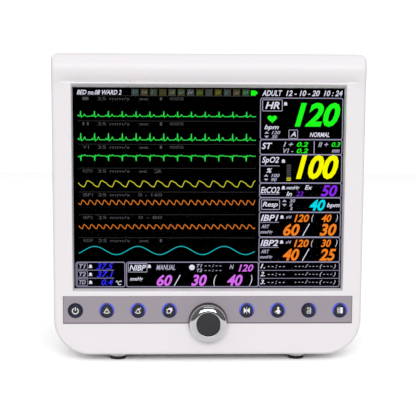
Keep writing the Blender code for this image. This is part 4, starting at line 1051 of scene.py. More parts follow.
@dataclass
class Display:
    """What the lit panel shows: seven traces on the left and boxed figures on the right and below."""

    case: Case
    beat: float = 40.8
    trace_left: float = 14.0
    trace_right: float = 541.0

    def build(self) -> None:
        """Draw everything and give the panel and the window their finishes."""
        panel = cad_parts["display_module"]
        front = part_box("display_module")[0].y
        self.pen = Drawing((0.0, self.case.screen_middle), self.case.screen_half, front - 0.16 * MM)
        self.header()
        self.traces()
        self.heart_rate()
        self.middle_boxes()
        self.pressures()
        self.bottom_row()
        self.pen.finish("display")
        dress(panel, Finish("display_black", (0.0004, 0.0004, 0.0006), 0.9, shift=(0.0007, 0.0007, 0.0010),
                            grain_depth=0.0, specular=0.0))
        dress(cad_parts["display_window"], Glass("window_glass"))

    def header(self) -> None:
        """Name, rows of small pictures, and the time."""
        pen = self.pen
        pen.text(Ink.WHITE, "BED no.08 WARD 2", 12, 143, 8, 22)
        tints = (Ink.GREY_TILE, Ink.OLIVE_TILE, Ink.GREY_TILE, Ink.OLIVE_TILE)
        for i in range(13):
            left = 172 + 27.2 * i
            pen.tile(tints[i % 4], left, 5, left + 21, 25)
            mark = (Ink.TRACE_CYAN, Ink.TRACE_GREEN, Ink.TRACE_YELLOW, Ink.SILVER, Ink.FAINT)[(3 * i) % 5]
            pen.line(mark, np.array([(left + 4, 20), (left + 8, 9 + i % 3), (left + 12, 18),
                                     (left + 17, 10 + i % 4)]), 1.8)
        pen.shape(Ink.GREEN, np.array([(524, 8), (538, 8), (538, 11), (543, 11), (543, 19), (538, 19),
                                       (538, 23), (524, 23)], float))
        pen.text(Ink.WHITE, "ADULT", 557, 617, 7, 24)
        pen.text(Ink.WHITE, "12 - 10 - 20", 628, 728, 7, 24)
        pen.text(Ink.WHITE, "10 : 24", 740, 796, 7, 24)

    def traces(self) -> None:
        """The seven traces, each with a faint heading and a line above it."""
        pen = self.pen
        steps = np.arange(self.trace_left, self.trace_right, 0.85)
        beats = ((steps - self.trace_left + 4) % self.beat) / self.beat
        wobble = 0.35 * np.sin(steps * 1.7) + 0.3 * np.sin(steps * 0.61)
        rows = (
            (Ink.TRACE_GREEN, 85.5 - wobble - 17.0 * heart_beat(beats, 0.95, 0.34)),
            (Ink.TRACE_GREEN, 155.0 - wobble - 22.0 * heart_beat(beats, 0.95, 0.38)),
            (Ink.TRACE_GREEN, 202.5 - wobble + 18.0 * heart_beat(beats, 0.95, -0.18)),
            (Ink.TRACE_YELLOW, 295.5 - 19.0 * pulse(((steps - 30) % 41.4) / 41.4)),
            (Ink.TRACE_ORANGE, 349.0 - 14.5 * pulse(((steps - 20) % 21.4) / 21.4)),
            (Ink.TRACE_ORANGE, 421.5 - 13.5 * pulse(((steps - 24) % 21.4) / 21.4)),
            (Ink.TRACE_CYAN, 486.5 - 12.5 * np.sin((steps - 29) / 129.0 * 2 * np.pi)),
        )
        for ink, height in rows:
            pen.line(ink, np.stack([steps, height], -1), 2.2)
        for i, top in enumerate((34, 108, 177, 248, 319, 387, 457)):
            pen.text(Ink.FAINT, ("I", "II", "V1", "PLETH", "IBP1", "IBP2", "RESP")[i], 28,
                     46 if i < 3 else 56, top - 5, top + 4, Lean.UPRIGHT, 0.0)
            pen.text(Ink.FAINT, "25 mm/s", 72, 166, top - 5, top + 4, Lean.UPRIGHT, 0.0)
            pen.text(Ink.FAINT, ("x 1", "x 1", "x 1", "x 2", "0 - 160", "0 - 80", "x 1")[i], 192, 262,
                     top - 5, top + 4, Lean.UPRIGHT, 0.0)
            if i < 3:
                pen.text(Ink.FAINT, "MONITOR", 285, 326, top - 5, top + 4, Lean.UPRIGHT, 0.0)
            pen.rule(14, top - 9, 541, top - 9, Ink.FAINT, 0.5)

    def bell(self, x: float, y: float) -> None:
        """A small alarm bell."""
        self.pen.round(Ink.WHITE, x, y, 4.6)
        self.pen.rule(x - 5.5, y + 4.5, x + 5.5, y + 4.5, Ink.WHITE, 2.0)

    def limits(self, x: float, top: float, high: str, low: str, ink: Ink = Ink.SILVER) -> None:
        """Upper and lower alarm limits with their small arrows."""
        pen = self.pen
        for row, (mark, words) in enumerate(((-1, high), (1, low))):
            y = top + 12.5 * row
            pen.shape(ink,
                      np.array([(x, y - 3 * mark), (x + 14, y - 3 * mark), (x + 7, y + 4 * mark)], float))
            pen.text(ink, words, x + 22, x + 22 + 8.5 * len(words), y - 5, y + 5)

    def heart_rate(self) -> None:
        """The heart rate and ST boxes."""
        pen = self.pen
        pen.frame(553, 30, 797, 152)
        pen.frame(559, 35, 617, 68, Ink.SILVER, 1.8, 2)
        pen.text(Ink.WHITE, "HR", 567, 609, 41, 62)
        self.bell(627, 46)
        lobes = np.radians(np.linspace(0, 352, 45))
        heart = np.stack([588 + 0.875 * 16 * np.sin(lobes) ** 3,
                          91 - 0.80 * (13 * np.cos(lobes) - 5 * np.cos(2 * lobes)
                          - 2 * np.cos(3 * lobes) - np.cos(4 * lobes))], -1)
        pen.shape(Ink.GREEN, heart)
        pen.text(Ink.WHITE, "bpm", 565, 608, 109, 126)
        self.limits(565, 132, "120", "50")
        pen.text(Ink.GREEN, "120", 655, 790, 43, 115, Lean.ITALIC, 0.035)
        pen.frame(638, 124, 664, 149, Ink.SILVER, 1.8, 2)
        pen.text(Ink.WHITE, "A", 643, 659, 129, 144)
        pen.text(Ink.WHITE, "NORMAL", 700, 759, 131, 145)
        pen.frame(553, 153, 797, 197)
        pen.text(Ink.WHITE, "ST", 558, 589, 162, 181)
        for x, y, name, value in ((622, 160, "I +", "0.2"), (622, 179, "V1 -", "0.2"),
                                  (726, 160, "II +", "0.3")):
            pen.text(Ink.SILVER, name, x, x + 30, y, y + 14)
            pen.text(Ink.GREEN, value, x + 40, x + 74 - (8 if x > 700 else 0), y, y + 14)
        pen.rule(714, 157, 714, 194, Ink.SILVER, 2.2)
        pen.text(Ink.SILVER, "mm", 767, 790, 182, 191)

    def middle_boxes(self) -> None:
        """Oxygen, carbon dioxide and breathing."""
        pen = self.pen
        pen.frame(553, 198, 797, 282)
        pen.text(Ink.WHITE, "SpO2", 559, 610, 204, 227)
        pen.rule(555, 231, 612, 231)
        self.bell(623, 216)
        pen.text(Ink.WHITE, "%", 572, 590, 238, 252)
        self.limits(565, 260, "100", "90")
        for i in range(9):
            ink = Ink.TRACE_YELLOW if i > 6 else Ink.FAINT
            pen.tile(ink, 633, 227 + 5.6 * i, 646, 230.5 + 5.6 * i)
        pen.text(Ink.YELLOW, "100", 661, 788, 198, 271, Lean.ITALIC, 0.035)
        pen.frame(553, 283, 797, 326)
        pen.text(Ink.WHITE, "EtCO2", 556, 613, 294, 313)
        pen.rule(555, 316, 612, 316)
        self.bell(624, 296)
        pen.text(Ink.WHITE, "mmHg", 633, 672, 291, 305)
        pen.text(Ink.WHITE, "Ex", 688, 711, 289, 302)
        pen.text(Ink.WHITE, "In", 633, 650, 308, 322)
        pen.text(Ink.PURPLE, "22", 662, 684, 308, 322, Lean.ITALIC, 0.0)
        pen.text(Ink.PURPLE, "50", 736, 786, 288, 323, Lean.ITALIC, 0.03)
        pen.frame(553, 327, 797, 370)
        pen.frame(559, 333, 613, 362, Ink.SILVER, 1.8, 2)
        pen.text(Ink.WHITE, "Resp", 562, 608, 339, 358)
        self.limits(621, 336, "30", "8")
        pen.text(Ink.SILVER, "s", 645, 653, 355, 364)
        pen.text(Ink.CYAN, "40", 703, 751, 332, 366, Lean.ITALIC, 0.03)
        pen.text(Ink.WHITE, "bpm", 755, 794, 342, 359)

    def pressures(self) -> None:
        """The two direct pressures and the list of readings."""
        pen = self.pen
        for top, name, high, mean, low, middle in ((371, "IBP1", "120", "60", "30", "40"),
                                                   (447, "IBP2", "120", "40", "25", "30")):
            pen.frame(553, top, 797, top + 74)
            pen.text(Ink.WHITE, name, 557, 611, top + 7, top + 26)
            pen.rule(555, top + 30, 612, top + 30)
            self.bell(621, top + 13)
            pen.text(Ink.SILVER, "s/d", 633, 650, top + 9, top + 18)
            pen.text(Ink.SILVER, "ART", 559, 584, top + 37, top + 48)
            pen.text(Ink.SILVER, "mmHg", 556, 594, top + 54, top + 67)
            pen.text(Ink.ORANGE, high, 658, 703, top + 6, top + 29, Lean.ITALIC, 0.025)
            pen.text(Ink.WHITE, "(", 710, 717, top + 6, top + 29, Lean.ITALIC, 0.0)
            pen.text(Ink.ORANGE, middle, 740, 770, top + 6, top + 29, Lean.ITALIC, 0.025)
            pen.text(Ink.WHITE, ")", 782, 789, top + 6, top + 29, Lean.ITALIC, 0.0)
            pen.text(Ink.ORANGE, mean, 625, 675, top + 34, top + 71, Lean.ITALIC, 0.03)
            pen.rule(684, top + 71, 704, top + 34, Ink.WHITE, 2.6)
            pen.text(Ink.ORANGE, low, 735, 786, top + 34, top + 71, Lean.ITALIC, 0.03)
        pen.frame(553, 522, 797, 597)
        for i in range(3):
            y = 526 + 24.3 * i
            pen.text(Ink.WHITE, f"{i + 1}.", 558, 572, y + 1, y + 15)
            pen.text(Ink.SILVER, "- - : - -", 580, 632, y + 5, y + 14)
            pen.text(Ink.SILVER, "- - - / - - - ( - - - )", 662, 786, y + 2, y + 16)
            if i:
                pen.rule(555, y - 3, 795, y - 3, Ink.FRAME, 1.6)

    def bottom_row(self) -> None:
        """Temperatures and the cuff's reading."""
        pen = self.pen
        pen.frame(5, 522, 151, 597)
        for i, (name, value) in enumerate((("T1", "37.5"), ("T2", "37.1"), ("TD", "0.4"))):
            y = 525 + 24.3 * i
            pen.frame(9, y, 39, y + 19, Ink.FRAME, 1.4, 1.5)
            pen.text(Ink.SILVER, name, 14, 34, y + 3.5, y + 15.5)
            self.bell(48, y + 9)
            pen.text(Ink.BLUE, value, 66 if i < 2 else 80, 116, y, y + 19)
            if i:
                pen.rule(8, y - 3, 118, y - 3, Ink.FRAME, 1.6)
        pen.text(Ink.WHITE, "°C", 124, 142, 578, 592)
        pen.frame(156, 522, 552, 597)
        pen.frame(161, 526, 217, 552, Ink.SILVER, 1.8, 2)
        pen.text(Ink.WHITE, "NIBP", 164, 214, 530, 548)
        self.bell(224, 534)
        pen.text(Ink.SILVER, "MANUAL", 245, 302, 530, 546)
        pen.round(Ink.WHITE, 352, 538, 8.5)
        pen.line(Ink.FAINT, np.array([(352, 532), (352, 538.5), (356.5, 541)]), 1.6)
        for y in (528, 542):
            pen.text(Ink.SILVER, "T1" if y < 530 else "T2", 366, 383, y, y + 10)
            pen.text(Ink.SILVER, "- - : - -", 390, 441, y + 2, y + 9)
        pen.text(Ink.SILVER, "N", 465, 478, 530, 543)
        pen.text(Ink.PINK, "120", 492, 537, 529, 551, Lean.ITALIC, 0.02)
        pen.text(Ink.WHITE, "mmHg", 166, 205, 567, 582)
        for x, words in ((246, "60"), (350, "30"), (458, "40")):
            pen.text(Ink.PINK, words, x, x + 47, 560, 595, Lean.ITALIC, 0.03)
        pen.rule(299, 594, 317, 561, Ink.WHITE, 2.6)
        pen.text(Ink.WHITE, "(", 417, 427, 561, 595, Lean.ITALIC, 0.0)
        pen.text(Ink.WHITE, ")", 524, 534, 561, 595, Lean.ITALIC, 0.0)


@dataclass(frozen=True)
class Glass:
    """Coated cover glass that hardly reflects."""

    name: str
    index: float = 1.03

    def build(self) -> bpy.types.Material:
        """Make the material: clear glass with a faint smear in its polish.

        Returns:
            The material.
        """
        made, tree, shader = new_material(self.name)
        shader.inputs["Transmission Weight"].default_value = 1.0
        shader.inputs["IOR"].default_value = self.index
        shader.inputs["Base Color"].default_value = (1, 1, 1, 1)
        smudge = Kit.use(tree, "smudge", Base=0.01, Spread=0.01)
        tree.links.new(smudge.outputs["Roughness"], shader.inputs["Roughness"])
        return made


def dress(node: bpy.types.Object, finish: Finish | Glow | Glass) -> None:
    """Give a CAD node a finish in all its material slots."""
    made = finish.build()
    if not node.material_slots:
        node.data.materials.append(made)
    for slot in node.material_slots:
        slot.material = made


# ------------------------------------------------------------------ keys and knob
class Symbol(Enum):
    """What is printed on each key."""

    POWER = "power_key"
    ALARM = "alarm_key"
    SILENCE = "alarm_silence_key"
    PAGE = "page_key"
    FREEZE = "freeze_key"
    CUFF = "cuff_key"
    LOCK = "lock_key"
    RECORD = "record_key"


@dataclass
class Keys:
    """Eight round keys with printed symbols, and the lit rings round them."""

    radius: float = 5.2 * MM
    dish: float = 3.95 * MM
    flange: float = 6.2 * MM
    ring: tuple[float, float] = (5.42 * MM, 7.0 * MM)
    face: float = -72.0 * MM

    def build(self) -> None:
        """Make each key with its symbol and its ring."""
        for symbol in Symbol:
            name = symbol.value
            low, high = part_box(name)
            middle = (low + high) / 2
            self.cap(name, (middle.x, middle.z), low.y, high.y)
            self.symbol(symbol, (middle.x, middle.z), low.y)
            self.halo(symbol, (middle.x, middle.z))

    def cap(self, name: str, centre: tuple[float, float], front: float, back: float) -> None:
        """A key: a shallow dish inside a rounded rim, a straight side, and a flange behind.

        Args:
            name: the CAD node.
            centre: the key's middle, across and up.
            front: depth of its front.
            back: depth of its back.
        """
        rim = arc((self.radius - 0.7 * MM, front + 0.75 * MM), 0.7 * MM, -100, 0, 8)
        dish = [(0.25 * MM, front + 0.16 * MM), (1.6 * MM, front + 0.155 * MM), (2.9 * MM, front + 0.13 * MM),
                (self.dish, front + 0.08 * MM)]
        side = [(self.radius, back - 1.3 * MM), (self.flange, back - 1.15 * MM), (self.flange, back)]
        piece = turned_piece(f"{name}_face", dish + rim.tolist() + side, centre, "Y", KEY_CAP, 72)
        seat(piece, f"{name}_cap", "key_caps", name)

    def symbol(self, symbol: Symbol, centre: tuple[float, float], front: float) -> None:
        """Print a key's symbol, on steps of 0.016 mm with (400, 300) in the middle.

        Args:
            symbol: the symbol.
            centre: the key's middle, across and up.
            front: depth of the key's front.
        """
        pen = Drawing(centre, (6.4 * MM, 4.8 * MM), front, 0.14 * MM)
        ink, shape = Ink.WHITE, symbol
        if shape is Symbol.POWER:
            pen.line(ink, arc((400, 312), 168, -58, 238, 30), 52)
            pen.rule(400, 105, 400, 300, ink, 50)
        elif shape is Symbol.ALARM:
            pen.line(ink, np.array([(400, 150), (560, 425), (480, 440), (320, 440), (240, 425)], float), 50,
                     closed=True)
            pen.round(ink, 400, 290, 34)
        elif shape is Symbol.SILENCE:
            pen.line(ink, np.array([(385, 190), (535, 430), (455, 445), (315, 445), (235, 430)], float), 48,
                     closed=True)
            pen.rule(455, 270, 550, 130, ink, 46)
            pen.rule(405, 180, 470, 240, ink, 40)
        elif shape is Symbol.PAGE:
            pen.line(ink, np.array([(265, 230), (475, 230), (475, 440), (265, 440)], float), 62, closed=True)
            pen.shape(ink, np.array([(300, 215), (370, 140), (560, 140), (560, 330), (490, 400), (490, 215)],
                                    float))
        elif shape is Symbol.FREEZE:
            pen.shape(ink, np.array([(225, 130), (372, 262), (372, 338), (225, 470)], float))
            pen.shape(ink, np.array([(575, 130), (575, 470), (428, 338), (428, 262)], float))
            pen.rule(400, 110, 400, 490, ink, 28)
        elif shape is Symbol.CUFF:
            pen.round(ink, 420, 160, 62)
            pen.shape(ink, np.array([(365, 235), (470, 235), (575, 385), (545, 420), (515, 395), (500, 495),
                                     (345, 495),
                                     (335, 375), (262, 425), (215, 395), (330, 285)], float))
        elif shape is Symbol.LOCK:
            ink = Ink.SILVER
            pen.line(ink, np.array([(300, 225), (310, 155), (490, 155), (500, 225), (500, 465), (300, 465),
                                    (300, 320)], float), 46)
            pen.line(ink, np.array([(360, 255), (440, 255), (440, 395), (360, 395)], float), 34, closed=True)
        else:
            pen.shape(ink, np.array([(425, 125), (545, 125), (560, 150), (560, 440), (545, 475), (425, 475)],
                                    float))
            pen.line(ink, np.array([(268, 145), (395, 145), (395, 455), (268, 455)], float), 34, closed=True)
            pen.round(ink, 325, 245, 36)
            pen.rule(325, 340, 325, 420, ink, 34)
        paint = SYMBOL if symbol is Symbol.LOCK else LIT_SYMBOL
        pen.finish(f"{symbol.value}_symbol", f"{symbol.value}_cap", "key_caps", paint)

    def halo(self, symbol: Symbol, centre: tuple[float, float]) -> None:
        """A ring of light guide. Each point's brightness falls away from two places beside its top.

        Args:
            symbol: the key's symbol.
            centre: the key's middle, across and up.
        """
        inner, outer = self.ring
        radius = inner + (outer - inner) * (1 - np.cos(np.linspace(0, np.pi, 9))) / 2
        swell = 0.22 * MM * np.sin(np.linspace(0, np.pi, 9))
        profile = np.stack([radius, self.face - 0.02 * MM - swell], -1)
        profile = np.concatenate([[(inner, self.face + 0.9 * MM)], profile,
                                  [(outer - 0.3 * MM, self.face + 0.2 * MM)]])
        points, faces = turned_ring(profile, centre, "Y", 96)
        piece = put_mesh(f"{symbol.value}_ring", points, faces,
                         Glow("ring_light", lit(92, 98, 225), 0.85, masked=True))
        angle = np.arctan2(points[:, 2] - centre[1], points[:, 0] - centre[0])
        wide = np.hypot(points[:, 0] - centre[0], points[:, 2] - centre[1])
        right = np.exp(-(np.abs(angle - math.radians(28)) / 0.85) ** 2.4)
        left = np.exp(-(np.abs(np.mod(angle, 2 * math.pi) - math.radians(152)) / 0.85) ** 2.4)
        across = np.exp(-(((wide - inner) / (outer - inner) - 0.55) / 0.42) ** 2)
        left_on = {Symbol.POWER: 0.0, Symbol.LOCK: 0.0}.get(symbol, 1.0)
        right_on = {Symbol.POWER: 0.0, Symbol.LOCK: 0.7}.get(symbol, 0.9)
        glow = piece.data.attributes.new("lit", "FLOAT", "POINT")
        glow.data.foreach_set("value", np.clip((right_on * right + left_on * left) * across, 0, 1))
        face_out(piece)
        seat(piece, "case", "light_guides")


@dataclass
class ControlStrip:
    """The printed strip's dark outline, which is painted shadow in the gap round it, and the finishes of the
    strip and its light guides.
    """

    # Widths of the painted shadow line: top, left, bottom, right.
    line: tuple[float, float, float, float] = (0.30 * MM, 0.55 * MM, 0.85 * MM, 0.55 * MM)

    def build(self) -> None:
        """Dress the strip and lay a thin dark line of painted shadow round it, thicker below than above,
        where the strip's edge throws more shade.
        """
        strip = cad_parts["control_strip"]
        dress(strip, STRIP)
        for side in ("left", "right"):
            dress(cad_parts[f"{side}_light_guide"],
                  Finish("guide_dark", (0.02, 0.02, 0.035), 0.4, specular=0.3))
        low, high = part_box("control_strip")
        top, left, bottom, right = self.line
        front, back = low.y - 0.04 * MM, low.y + 0.3 * MM
        outer = (low.x - 0.25 * MM, low.z - 0.25 * MM, high.x + 0.25 * MM, high.z + 0.25 * MM)
        inner = (low.x + left - 0.25 * MM, low.z + bottom, high.x - right + 0.25 * MM,
                 high.z - 0.6 * MM - top)
        rings = []
        for depth in (front, back):
            for x0, z0, x1, z1 in (outer, inner):
                rings.append([(x0, depth, z0), (x1, depth, z0), (x1, depth, z1), (x0, depth, z1)])
        points = np.array(rings, float).reshape(-1, 3)
        faces = []
        for i in range(4):
            j = (i + 1) % 4
            faces += [(i, j, 4 + j, 4 + i), (8 + i, 12 + i, 12 + j, 8 + j), (i, 8 + i, 8 + j, j),
                      (4 + i, 4 + j, 12 + j, 12 + i)]
        # Painted shadow: a flat dark frame in the gap round the strip stands in for the shade at its edges.
        shade = Finish("strip_painted_shadow", (0.17, 0.15, 0.165), 0.5, grain_depth=0.05)
        seat(heal(put_mesh("strip_painted_shadow", points, faces, shade, smooth=False), FINE_MERGE), "case",
             "control_strip")


@dataclass
class Knob:
    """The turning knob: a chromed body with a soft black cap, and a black ring on the strip round it that
    paints the shade and dark reflection at the knob's base.
    """

    base: float = 17.2 * MM
    flanks: tuple[tuple[float, float, float], ...] = (
        (-85, -60, 14.6 * MM), (-60, -30, 16.7 * MM), (-30, -4, 17.2 * MM))
    cap: float = 11.0 * MM

    def build(self) -> None:
        """Make the body, the cap and the ring of painted shade."""
        low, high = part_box("knob_body")
        middle = (low + high) / 2
        centre = (middle.x, middle.z)
        front, back = low.y, high.y
        inner = self.cap + 0.05 * MM
        rows = [[(inner, front + 2.2 * MM), (inner, front + 0.45 * MM)],
                arc((inner + 0.3 * MM, front + 0.35 * MM), 0.3 * MM, 180, 262, 5)]
        reach, depth = inner + 0.3 * MM, front + 0.05 * MM
        for start, end, outer in self.flanks:
            first, last = math.radians(start), math.radians(end)
            radius = (outer - reach) / (math.cos(last) - math.cos(first))
            bend = arc((reach - radius * math.cos(first), depth - radius * math.sin(first)), radius, start,
                       end, 10)
            rows.append(bend)
            reach, depth = bend[-1]
        rows.append([(self.base, back - 0.5 * MM), (self.base - 0.4 * MM, back), (3.3 * MM, back)])
        profile = np.concatenate(rows)
        seat(turned_piece("knob_chrome", profile, centre, "Y", CHROME, 128), "knob", "chrome", "knob_body")
        tip, base = (corner.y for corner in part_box("knob_cap"))
        crown = [(0.3 * MM, tip), (4.0 * MM, tip + 0.03 * MM), (7.5 * MM, tip + 0.12 * MM),
                 (9.6 * MM, tip + 0.28 * MM)]
        rim = arc((self.cap - 0.75 * MM, tip + 1.0 * MM), 0.65 * MM, -85, 0, 7).tolist()
        cover = turned_piece("knob_cover", crown + rim + [(self.cap - 0.1 * MM, base)], centre, "Y", KNOB_CAP,
                             96)
        seat(cover, "knob", "knob_cap", "knob_cap")
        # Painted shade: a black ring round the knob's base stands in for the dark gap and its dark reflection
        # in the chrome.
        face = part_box("control_strip")[0].y
        inner, outer = self.base + 0.15 * MM, self.base + 0.75 * MM
        ring = [(inner, face + 0.1 * MM), (inner, face - 0.9 * MM), (outer - 0.2 * MM, face - 0.9 * MM),
                (outer, face - 0.6 * MM), (outer, face + 0.1 * MM)]
        fit("knob_painted_shade_ring", turned_ring(ring, centre, "Y", 96), BLACK, "control_strip", FINE_MERGE)
        dress(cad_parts["encoder_shaft"], STEEL)


# ------------------------------------------------------------------ the rear
def rounded(half_a: float, half_b: float, radius: float, centre: Sequence[float] = (0, 0),
            steps: int = 8) -> np.ndarray:
    """Edge of a rounded rectangle, as points that go round once."""
    radius = min(radius, half_a - 1e-6, half_b - 1e-6)
    corners = ((1, 1, 0), (-1, 1, 90), (-1, -1, 180), (1, -1, 270))
    parts = [arc((a * (half_a - radius), b * (half_b - radius)), radius, start, start + 90, steps) for a, b,
             start in corners]
    return np.concatenate(parts) + np.asarray(centre)


def prism(edge: np.ndarray, axis: str, stations: Sequence[tuple[float, float]]) -> tuple[np.ndarray, list]:
    """A closed body: an outline carried along an axis.

    Args:
        edge: an (n, 2) outline round its middle.
        axis: X, Y or Z.
        stations: (distance along the axis, inset of the outline) for each section. An inset draws
            each point towards the outline's middle, by the same length across both directions.

    Returns:
        Points and faces, with both ends closed.
    """
    middle = (edge.max(0) + edge.min(0)) / 2
    half = (edge.max(0) - edge.min(0)) / 2
    rings = []
    for along, inset in stations:
        flat = middle + (edge - middle) * (half - inset) / half
        place = np.full(len(edge), along)
        order = {"X": (place, flat[:, 0], flat[:, 1]), "Y": (flat[:, 0], place, flat[:, 1]),
                 "Z": (flat[:, 0], flat[:, 1], place)}[axis]
        rings.append(np.stack(order, -1))
    return np.concatenate(rings), tube_faces(len(rings), len(edge))


@dataclass
class RearHousing:
    """The rear half of the casing: a shell that narrows to the rear, its openings, pocket and grip."""

    case: Case
    step: float = 2.0 * MM
    top_step: float = 4.0 * MM
    wall: float = 2.6 * MM
    tail: float = 32.0 * MM
    tail_inset: float = 15.0 * MM
    pad: float = 90.0 * MM
    pad_middle: float = 170.5 * MM
    pad_face: float = 84.0 * MM
    hole_place: float = 37.5 * MM
    pocket: tuple[float, float, float, float] = (58 * MM, -5 * MM, 45 * MM, 244.9 * MM)
    bay: tuple[float, float, float, float] = (-12 * MM, 40 * MM, 65.5 * MM, 215.5 * MM)
    screws: tuple[float, float, float] = (108.25 * MM, 42.5 * MM, 248.9 * MM)
    inlet: tuple[float, float, float, float] = (62 * MM, 55.5 * MM, 14.5 * MM, 11 * MM)
    network: tuple[float, float, float, float] = (-30 * MM, 55.5 * MM, 7.5 * MM, 6.5 * MM)
    stud: tuple[float, float] = (92 * MM, 55.5 * MM)
    door: tuple[float, float, float, float] = (-100 * MM, -26 * MM, -22 * MM, 28 * MM)

    def build(self) -> None:
        """Make the shell, the mounting pad, the pocket with its grip, and the door."""
        self.shell()
        self.mounting_pad()
        self.pocket_cup()
        self.grip()
        self.battery_cover()

    def ring(self, inset: float, upper: float, depth: float) -> np.ndarray:
        """The housing's outline at one depth.

        Args:
            inset: how far it is drawn in.
            upper: radius of the upper corners.
            depth: the depth.

        Returns:
            Points that go round once.
        """
        case = self.case
        half = case.half - self.step - inset
        low, high = case.bottom + self.step + inset, case.top - self.top_step - inset
        lower = max(case.lower_radius - self.step - inset, 6 * MM)
        edge = np.concatenate([
            arc((half - lower, low + lower), lower, -90, 0, 14), arc((half - upper, high - upper), upper, 0,
                                                                     90, 10),
            arc((upper - half, high - upper), upper, 90, 180, 10), arc((lower - half, low + lower), lower,
                                                                       180, 270, 14),
        ])
        return np.stack([edge[:, 0], np.full(len(edge), depth), edge[:, 1]], -1)

    def shell(self) -> None:
        """Loft the shell.

        Along the tail a share t runs from 0 to 1: the distance to the rear wall falls as
        (1 - t) to the power 1.15 and the inset grows as t squared, so the shell meets the rear
        wall without an edge.
        """
        case = self.case
        start = case.seam - 3.6 * MM
        rings = [self.ring(self.wall + 0.2 * MM, 2.2 * MM, start), self.ring(0.35 * MM, 3.6 * MM, start),
                 self.ring(0.0, 4 * MM, start + 0.4 * MM)]
        rings += [self.ring(0.0, 4 * MM, y) for y in np.linspace(case.seam, case.rear - self.tail, 7)]
        for part in np.linspace(0, 1, 17)[1:]:
            rings.append(self.ring(self.tail_inset * part ** 2, (4 + 10 * part) * MM,
                                   case.rear - self.tail * (1 - part) ** 1.15))
        faces = tube_faces(len(rings), len(rings[0]), first=False)
        piece = heal(put_mesh("casing_rear", np.concatenate(rings), faces, CASING))
        cut(thicken(piece, self.wall), together(self.openings()))
        seat(piece, "case", "casing", "rear_housing")

    def openings(self) -> list[tuple[np.ndarray, list]]:
        """Vents, inlet, network socket, stud, screws, hand pocket, socket bay and battery door.

        Returns:
            The points and faces of each body to cut away.
        """
        case = self.case
        near, far = case.rear - 6 * MM, case.rear + 2 * MM
        half_pad = self.pad / 2
        bodies = []
        for side in (-1, 1):
            for i in range(6):
                slot = rounded(1.3 * MM, 25 * MM, 1.3 * MM,
                               (side * (half_pad + 12 * MM + 7 * MM * i), 173.5 * MM), 5)
                bodies.append(prism(slot, "Y", [(near, 0), (far, 0)]))
        for i in range(5):
            slot = rounded(1.2 * MM, 13 * MM, 1.2 * MM, (16 * MM + (i - 2) * 6 * MM, 120.5 * MM), 5)
            bodies.append(prism(slot, "X", [(case.half - 8 * MM, 0), (case.half + 1 * MM, 0)]))
        for x, z, half_x, half_z in (self.inlet, self.network):
            bodies.append(prism(rounded(half_x, half_z, 1.5 * MM, (x, z), 4), "Y", [(near, 0), (far, 0)]))
        bodies.append(turned([(3.3 * MM, near), (3.3 * MM, far)], self.stud, "Y", 32))
        x, low, high = self.screws
        for side in (-1, 1):
            for z in (low, high):
                bodies.append(turned([(3.8 * MM, case.rear - 2.5 * MM), (3.8 * MM, case.rear - 0.4 * MM),
                                      (4.4 * MM, case.rear + 0.2 * MM), (4.4 * MM, far)],
                                      (side * x, z), "Y", 40))
        half, front, back = self.pocket[:3]
        mouth = rounded(half, (back - front) / 2, 7 * MM, (0, (back + front) / 2))
        bodies.append(prism(mouth, "Z", [(self.case.top - 14 * MM, 0), (self.case.top + 2 * MM, 0)]))
        front, back, low, high = self.bay
        mouth = rounded((back - front) / 2, (high - low) / 2, 4 * MM, ((back + front) / 2, (high + low) / 2))
        bodies.append(prism(mouth, "X", [(-case.half - 2 * MM, 0), (8 * MM - case.half, 0)]))
        left, right, front, back = self.door
        seat_edge = rounded((right - left) / 2, (back - front) / 2, 2 * MM,
                            ((left + right) / 2, (back + front) / 2))
        floor = case.bottom + self.step
        bodies.append(prism(seat_edge, "Z", [(floor - 2 * MM, 0), (floor + 1.6 * MM, 0)]))
        return bodies

    def mounting_pad(self) -> None:
        """The square pad with four holes for an arm, and a shallow groove inside its rim."""
        front, back = self.case.rear - 0.5 * MM, self.pad_face
        edge = rounded(self.pad / 2, self.pad / 2, 5 * MM, (0, self.pad_middle), 10)
        body = prism(edge, "Y",
                     [(front, 0), (back - 1.2 * MM, 0), (back - 0.35 * MM, 0.35 * MM), (back, 1.2 * MM)])
        piece = heal(put_mesh("mounting_pad", *body, CASING))
        sides = (-self.hole_place, self.hole_place)
        holes = [turned([(2.1 * MM, front - 1 * MM), (2.1 * MM, back - 0.8 * MM), (3.0 * MM, back + 0.1 * MM),
                         (3.0 * MM, back + 1 * MM)], (x, self.pad_middle + z), "Y", 32)
                 for x in sides for z in sides]
        seat(cut(piece, together(holes)), "case", "casing")
        collars = [turned([(1.2 * MM, back - 4 * MM), (1.2 * MM, back - 1.3 * MM),
                           (2.05 * MM, back - 1.0 * MM),
                           (2.05 * MM, back - 4 * MM)], (x, self.pad_middle + z), "Y", 24)
                   for x in sides for z in sides]
        fit("pad_inserts", together(collars), BRASS, "brass")

    def pocket_cup(self) -> None:
        """The hand pocket under the grip: a rounded cup that hangs from the shell's top."""
        half, front, back, floor = self.pocket
        top = self.case.top - self.top_step
        edge = rounded(half, (back - front) / 2, 7 * MM, (0, (back + front) / 2), 10)
        bend = 5 * MM
        insets = [(floor + bend * (1 - math.sin(a)), bend * (1 - math.cos(a)))
                  for a in np.linspace(math.pi / 2, 0, 8)]
        points, faces = prism(edge, "Z", insets + [(top - 1.0 * MM, 0), (top - 0.1 * MM, -0.5 * MM)])
        piece = heal(put_mesh("grip_pocket", points, faces[:-1], CASING))
        piece.data.flip_normals()
        seat(thicken(piece, 2.0 * MM), "case", "casing")

